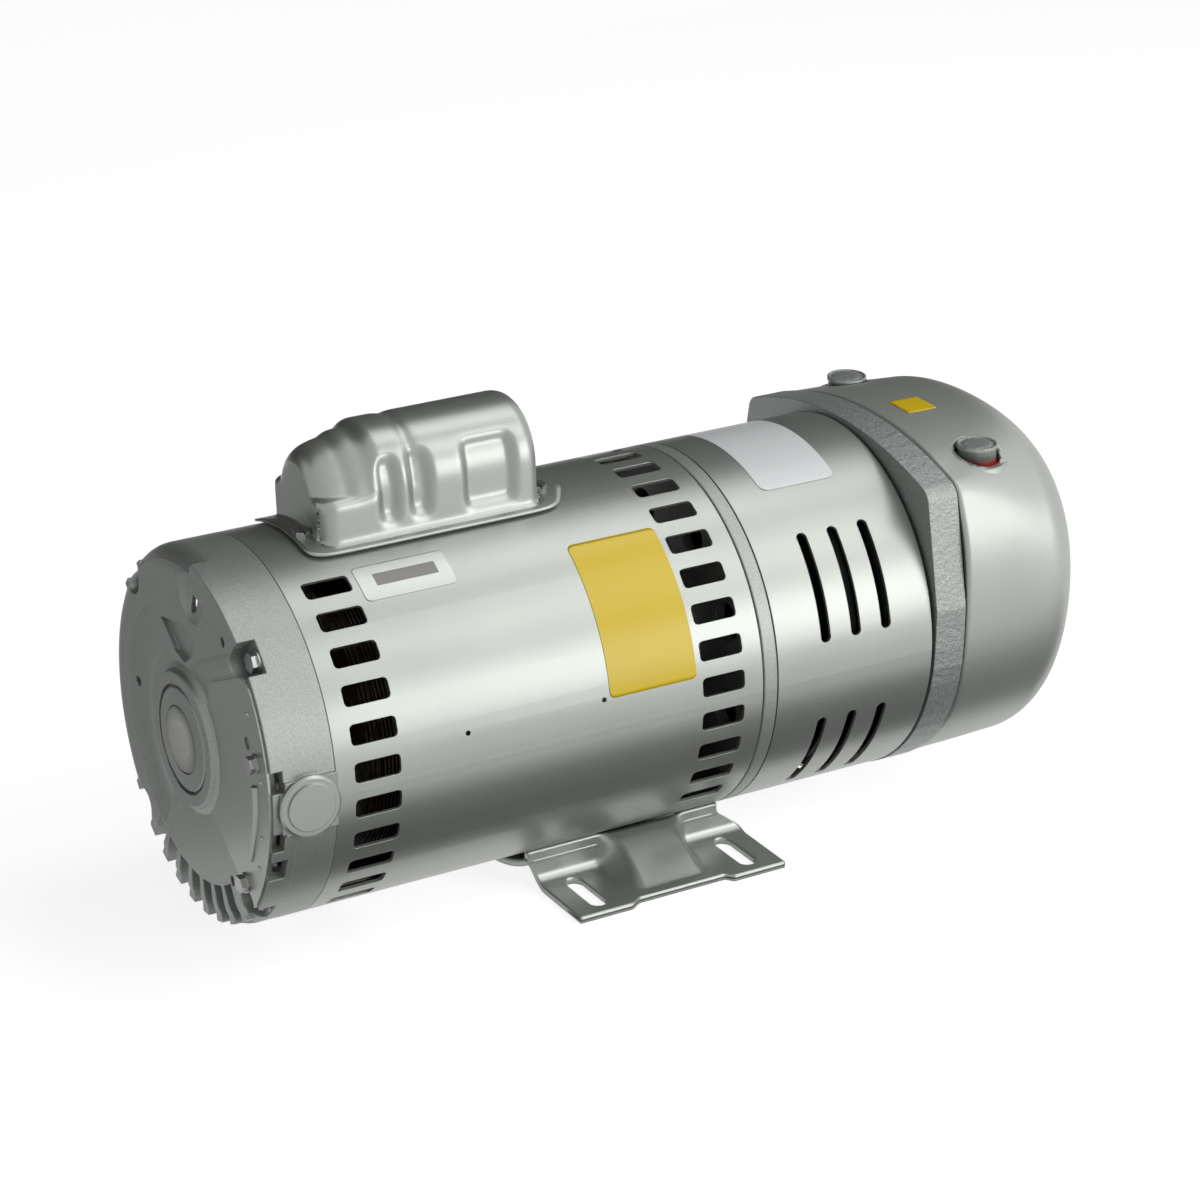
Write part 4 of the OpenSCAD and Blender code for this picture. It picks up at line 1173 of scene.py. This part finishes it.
@dataclass
class Foot:
    """The pressed foot: a saddle under the shell, two risers and two slotted plates.

    Attributes:
        half_width: Half of the foot's width.
        riser_x: Outside of the riser.
        thickness: Sheet thickness.
        bend: Radius of the bend between riser and plate.
        saddle: First and last stations of the saddle.
        plate: First and last stations of the plates.
        slots: Half spacings of the slots across and along the shaft.
        slot_size: Width and end-to-end length of a slot.
    """

    half_width: float = 81.5
    riser_x: float = 42.5
    thickness: float = 3.0
    bend: float = 5.5
    saddle: Span = (-57.0, 39.5)
    plate: Span = (-52.0, 52.0)
    slots: Span = (61.9, 38.1)
    slot_size: Span = (8.7, 28.5)

    def profile(self) -> tuple[np.ndarray, np.ndarray]:
        """Half of the sheet's upper face from the saddle's edge to the plate's edge.

        Returns:
            Points (x, z) of the plain profile, and of the profile over the pressed bulge.
        """
        face, low = self.riser_x + 1.4, self.thickness + self.bend
        top = SHAFT_HEIGHT - math.sqrt(SHELL_RADIUS**2 - self.riser_x**2)
        riser = np.stack([np.full(9, face), np.linspace(top, low, 9)], axis=-1)
        a = np.linspace(math.pi, math.pi * 1.5, 8)[1:]
        turned = np.stack([face + self.bend * (1 + np.cos(a)), low + self.bend * np.sin(a)], axis=-1)
        out = np.linspace(self.riser_x + 9.5, self.half_width, 22)
        plate = np.stack([out, np.full(22, self.thickness)], axis=-1)
        plain = np.concatenate([riser, turned, plate])
        length = run_length(plain)
        end = length[-1]
        ramp_x = np.interp(length, [0, 3, 38, end], [face, self.riser_x + 6, 73, self.half_width])
        ramp_z = np.interp(length, [0, 3, 34, 38, end], [top, top - 1.5, 4.6, 3.0, 3.0])
        return plain, np.stack([ramp_x, ramp_z], axis=-1)

    def side(self, mirror: int) -> Sheet:
        """One riser and plate as a grid of profile points times stations.

        The bulge blends the plain profile towards the ramp by an eased weight along the shaft.

        Args:
            mirror: 1 for the near side, -1 for the far side.

        Returns:
            The grid.
        """
        plain, ramp = self.profile()
        v = np.linspace(0, 1, 131)[:, None]
        share = smooth(plain[:, 1], 3.0, 16.0)
        first, last = (p + (s - p) * share for p, s in zip(self.plate, self.saddle))
        y = first + (last - first) * v
        weight = (smooth(y, -23.0, -13.0) * (1 - smooth(y, 13.0, 23.0)))[..., None]
        across = plain[None] * (1 - weight) + ramp[None] * weight
        notch = 3.5 * smooth(y, -26.8, -19.6) * (1 - smooth(y, 22.8, 26.1))
        x = across[..., 0] - notch * smooth(plain[:, 0], self.half_width - 12, self.half_width)
        points = np.stack([mirror * x, y, across[..., 1]], axis=-1)
        return Sheet(points[:, ::mirror])

    def build(self, palette: Palette) -> list[bpy.types.Object]:
        """Make the two pressed sides with their slots, and the saddle.

        Args:
            palette: The pump's materials.

        Returns:
            The three pieces.
        """
        pieces = []
        for mirror, name in ((1, "foot_near"), (-1, "foot_far")):
            piece = walled(name, [self.side(mirror)], palette["pressed"], self.thickness)
            for k in (-1, 1):
                cut(piece, self.slot(mirror * self.slots[0], k * self.slots[1]))
            pieces.append(piece)
        angle = np.radians(np.linspace(239.5, 300.5, 40))
        station = np.linspace(*self.saddle, 30)[:, None]
        saddle = Sheet(about_shaft(angle, station, SHELL_RADIUS + self.thickness + 0.02))
        skin = self.thickness - 0.1
        return pieces + [walled("foot_saddle", [saddle], palette["pressed"], skin)]

    def slot(self, x: float, y: float) -> Sheet:
        """The closed shape of one bolt slot.

        Args:
            x: Centre of the slot across the shaft.
            y: Centre of the slot along the shaft.

        Returns:
            A bar with round ends, closed at its top and bottom.
        """
        r, run = self.slot_size[0] / 2, (self.slot_size[1] - self.slot_size[0]) / 2
        t = np.linspace(0, 2 * np.pi, 41)[:-1]
        ring = np.stack([x + run * np.sign(np.cos(t)) + r * np.cos(t), y + r * np.sin(t)], axis=-1)
        middle = np.full_like(ring, (x, y))
        low, high = -4.0, 9.0
        rows = ((middle, low), (ring, low), (ring, high), (middle, high))
        return Sheet(np.array([np.insert(row, 2, z, axis=1) for row, z in rows]), wrap_columns=True)


@dataclass
class Labels:
    """The blank labels: thin films on the shell, the shroud and the end cover.

    Attributes:
        lift: Gap under a film.
        film: Thickness of a film.
    """

    lift: float = 0.12
    film: float = 0.1

    def patch(self, name: str, angles: Span, stations: Span, corner: float,
              finish: bpy.types.Material, over: float = 0.0) -> bpy.types.Object:
        """A film with rounded corners on the shell.

        The rectangle's rows shrink near its ends by corner - sqrt(corner^2 - d^2).

        Args:
            name: Name of the piece.
            angles: First and last angle in degrees.
            stations: First and last station.
            corner: Radius of the corners in millimetres.
            finish: Material of the film.
            over: Height over the other films in millimetres.

        Returns:
            The film.
        """
        radius = SHELL_RADIUS + self.lift + self.film + over
        width = math.radians(angles[1] - angles[0]) * radius
        f = np.linspace(0, math.pi / 2, 7)
        ends, drawn = corner * (1 - np.cos(f)), corner * (1 - np.sin(f))
        y = np.concatenate([stations[0] + ends, stations[1] - ends[::-1]])
        arc = np.linspace(-1, 1, 41) * (width / 2 - np.concatenate([drawn, drawn[::-1]])[:, None])
        angle = math.radians((angles[0] + angles[1]) / 2) + arc / radius
        sheet = Sheet(about_shaft(angle, y[:, None], radius)[:, ::-1])
        return walled(name, [sheet], finish, self.film)

    def tile(self, cover: EndCover, palette: Palette) -> bpy.types.Object:
        """The square film on top of the end cover.

        Each point lies on the cover's own section, found by its place across the top.

        Args:
            cover: The end cover that carries the film.
            palette: The pump's materials.

        Returns:
            The film.
        """
        x, y = np.meshgrid(np.linspace(-3.6, 12.8, 15), np.linspace(159, 174.5, 9))
        blur, inset = cover.course((y[:, 0] - cover.start) / (cover.end - cover.edge - cover.start))
        top = slice(250, 150, -1)
        rings = about_shaft(TURN, y[:, :1], cover.radii(blur) - inset[:, None])[:, top]
        rows = [np.interp(x[0], ring[:, 0], ring[:, 2]) for ring in rings]
        z = np.array(rows) + self.lift + self.film
        sheet = Sheet(np.stack([x, y, z], axis=-1))
        return walled("cover_label", [sheet], palette["yellow"], self.film)

    def build(self, cover: EndCover, palette: Palette) -> list[bpy.types.Object]:
        """Make all the labels.

        Args:
            cover: The end cover, which carries one of them.
            palette: The pump's materials.

        Returns:
            The labels.
        """
        white, yellow, silver, strip = (palette[k] for k in ("white", "yellow", "silver", "strip"))
        return [self.patch("shroud_label", (62, 109), (64, 102.5), 4.0, white),
                self.patch("shell_label", (9.5, 58), (-37, 5.5), 2.5, yellow),
                self.patch("silver_label", (54, 66.5), (-133, -91), 2.0, silver),
                self.patch("silver_label_strip", (58.6, 62.9), (-125.5, -97), 0.4, strip, 0.06),
                self.tile(cover, palette)]


@dataclass
class PortPlug:
    """A cap plug standing in a port: a painted cap over a red threaded body.

    Attributes:
        name: Name of the piece and of the node that it replaces.
        side: -1 or 1.
        lift: Height of the cap's top over the cover at the port.
    """

    name: str
    side: int
    lift: float = 3.0

    def build(self, cover: EndCover, palette: Palette) -> tuple[bpy.types.Object, bpy.types.Object]:
        """Make the cap and the body.

        Args:
            cover: The end cover, which places the port.
            palette: The pump's materials.

        Returns:
            The cap and the threaded body.
        """
        centre = cover.port(self.side, self.lift)
        low = -self.lift - 3.2
        cap = [(0, low), (8.7, low), (8.6, -2.6), (8.9, -2.2), (9.2, -1.8), (9.2, -0.5),
               (9.0, -0.1), (8.6, 0), (8.3, -0.1), (8.0, -0.5), (7.6, -0.55), (6.3, -0.55),
               (6.0, -0.3), (5.6, -0.25), (0, -0.25)]
        start, end = low + 0.02, -self.lift - cover.seat_depth + 0.2
        rim, head = cover.seat_radius - 0.2, end + 1.6
        turns = enumerate(np.linspace(start, end, 25))
        threads = [(8.45 + 0.35 * (k % 2), float(h)) for k, h in turns if h > head]
        body = [(0, start), *threads, (8.5, head), (rim, head), (rim, end), (0, end)]
        top = solid(self.name + "_cap", [lathe(cap, centre)], palette["cast"])
        return top, solid(self.name + "_thread", [lathe(body, centre)], palette["red"])


# The studio


@dataclass
class Studio:
    """Camera, floor and lamps.

    Attributes:
        azimuth: Camera azimuth in degrees.
        elevation: Camera elevation in degrees.
        roll: Camera roll in degrees.
        place: Camera position in millimetres in the row frame.
        focal: Focal length in pixels of the 1200 pixel frame.
        frame: Width of the frame in pixels.
        lamp_distance: Distance of the lamps in metres.
        floor_lift: Glow of the floor where it is seen directly.
        fill: Strength of the world as a light.
    """

    azimuth: float = 59.84
    elevation: float = 23.09
    roll: float = -0.06
    place: Point = (1258.86, -726.56, 729.49)
    focal: float = 3578.1
    frame: float = 1200.0
    lamp_distance: float = 1.6
    floor_lift: float = 0.8
    fill: float = 0.18

    def camera(self) -> None:
        """Create the camera that was fitted to the photograph."""
        a, e, r = (math.radians(v) for v in (self.azimuth, self.elevation, self.roll))
        back = Vector((math.sin(a) * math.cos(e), -math.cos(a) * math.cos(e), math.sin(e)))
        right = Vector((math.cos(a), math.sin(a), 0))
        up = back.cross(right)
        tilted = right * math.cos(r) + up * math.sin(r)
        upward = up * math.cos(r) - right * math.sin(r)
        data = bpy.data.cameras.new("camera")
        data.sensor_width = 36.0
        data.lens = self.focal / self.frame * data.sensor_width
        data.clip_end = 20
        made = bpy.data.objects.new("camera", data)
        turn = Matrix((tilted, upward, back)).transposed()
        made.matrix_world = Matrix.Translation(Vector(self.place) * MM) @ turn.to_4x4()
        bpy.context.scene.collection.objects.link(made)
        bpy.context.scene.camera = made

    def floor(self) -> None:
        """Lay a wide floor under the foot, lifted to white where it is seen directly."""
        g = Graph.named("studio_floor")
        lift = g.spread(g.seen_directly(), 0.0, 0.0, self.floor_lift)
        face = g.surface(Base_Color=(0.55, 0.55, 0.55, 1), Roughness=0.9,
                         Emission_Color=(1, 1, 1, 1), Emission_Strength=lift)
        ends = [-6000.0, 6000.0]
        grid = np.stack(np.meshgrid(ends, ends, [0.0]), axis=-1)[:, :, 0]
        mesh_object("studio_floor_piece", [Sheet(grid)], face)

    def card(self, name: str, low: Point, high: Point, glow: float = 0.0) -> None:
        """Set a card that only reflections see, which the paint shows as its dark side.

        Args:
            name: Name of the card.
            low: Lower corner in millimetres.
            high: Upper corner in millimetres.
            glow: Brightness of the card.
        """
        (x0, y0, z0), (x1, y1, z1) = low, high
        grid = np.array([[(x0, y0, z0), (x0, y1, z0)], [(x1, y0, z1), (x1, y1, z1)]])
        face = Graph.named(name).surface(Base_Color=(0.01, 0.011, 0.011, 1), Roughness=0.9,
                                         Emission_Color=(1, 1, 1, 1), Emission_Strength=glow)
        piece = mesh_object(name, [Sheet(grid)], face)
        piece.visible_camera = piece.visible_diffuse = piece.visible_shadow = False

    def lamp(self, name: str, azimuth: float, elevation: float, size: Span,
             radiance: float) -> None:
        """Add a soft lamp on a sphere around the pump, aimed at its middle.

        The power is radiance * pi * area, which gives the lamp's face that radiance.

        Args:
            name: Name of the lamp.
            azimuth: Direction from +X towards +Y, in degrees.
            elevation: Degrees above the floor.
            size: Width and height of the lamp in metres.
            radiance: Brightness of the lamp's face.
        """
        a, e = math.radians(azimuth), math.radians(elevation)
        aim = Vector((math.cos(a) * math.cos(e), math.sin(a) * math.cos(e), math.sin(e)))
        data = bpy.data.lights.new(name, "AREA")
        data.shape = "RECTANGLE"
        data.size, data.size_y = size
        data.energy = radiance * math.pi * size[0] * size[1]
        made = bpy.data.objects.new(name, data)
        place = Matrix.Translation(aim * self.lamp_distance + Vector((0, 0, SHAFT_HEIGHT * MM)))
        made.matrix_world = place @ aim.to_track_quat("Z", "Y").to_matrix().to_4x4()
        bpy.context.scene.collection.objects.link(made)

    def world(self) -> None:
        """A white surround where it is seen, and a dim even one for the light that it gives."""
        world = bpy.context.scene.world = bpy.data.worlds.new("studio")
        g = Graph(world)
        flags = {0: g.seen_directly(), 1: self.fill}
        strength = g.node("Math", flags, operation="MAXIMUM").outputs[0]
        g.close(g.node("Background", {"Color": (1, 1, 1, 1), "Strength": strength}))

    def build(self) -> None:
        """Set up the whole studio."""
        bpy.context.scene.view_settings.view_transform = "Standard"
        self.camera()
        self.floor()
        self.world()
        self.card("card_behind", (-1300.0, -1900.0, 5.0), (-1300.0, 1700.0, 1500.0))
        self.card("card_above", (-1300.0, -1900.0, 1500.0), (-250.0, 1700.0, 2100.0))
        self.card("card_low", (70.0, -230.0, 1.0), (185.0, 380.0, 1.0))
        self.card("card_left", (-900.0, -1100.0, 1.0), (-60.0, -215.0, 1.0), 0.4)
        self.lamp("right_front", 33, 14, (1.05, 0.75), 3.6)
        self.lamp("right_high", 42, 47, (0.9, 0.7), 2.3)
        self.lamp("overhead", 100, 66, (0.75, 0.75), 2.4)


def add(pieces: list[bpy.types.Object], node: str, body: Body = Body.HOUSING) -> None:
    """Ride pieces on a body in place of a CAD node.

    Args:
        pieces: The new pieces.
        node: The node that they stand for.
        body: The body that they ride on.
    """
    for piece in pieces:
        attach(piece, body.value)
        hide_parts(node)
        LOG.info("made %s", piece.name)


def main() -> None:
    """Load the frame, build the pieces, dress the nodes and set up the studio."""
    logging.basicConfig(level=logging.INFO, format="%(message)s")
    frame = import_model()
    palette = {key: finish.build() for key, finish in FINISHES.items()}
    dress_nodes(frame["nodes"], palette)
    cover = EndCover()
    add(cover.build(palette), "end_cover")
    add([CapacitorCover().build(palette)], "capacitor_cover")
    add(Foot().build(palette), "foot")
    add(Labels().build(cover, palette), "labels")
    for side, body in ((-1, Body.INLET_PLUG), (1, Body.EXHAUST_PLUG)):
        cap, stem = PortPlug(body.value, side).build(cover, palette)
        add([cap], body.value, body)
        add([stem], body.value, body)
    Studio().build()


if __name__ == "__main__":
    main()
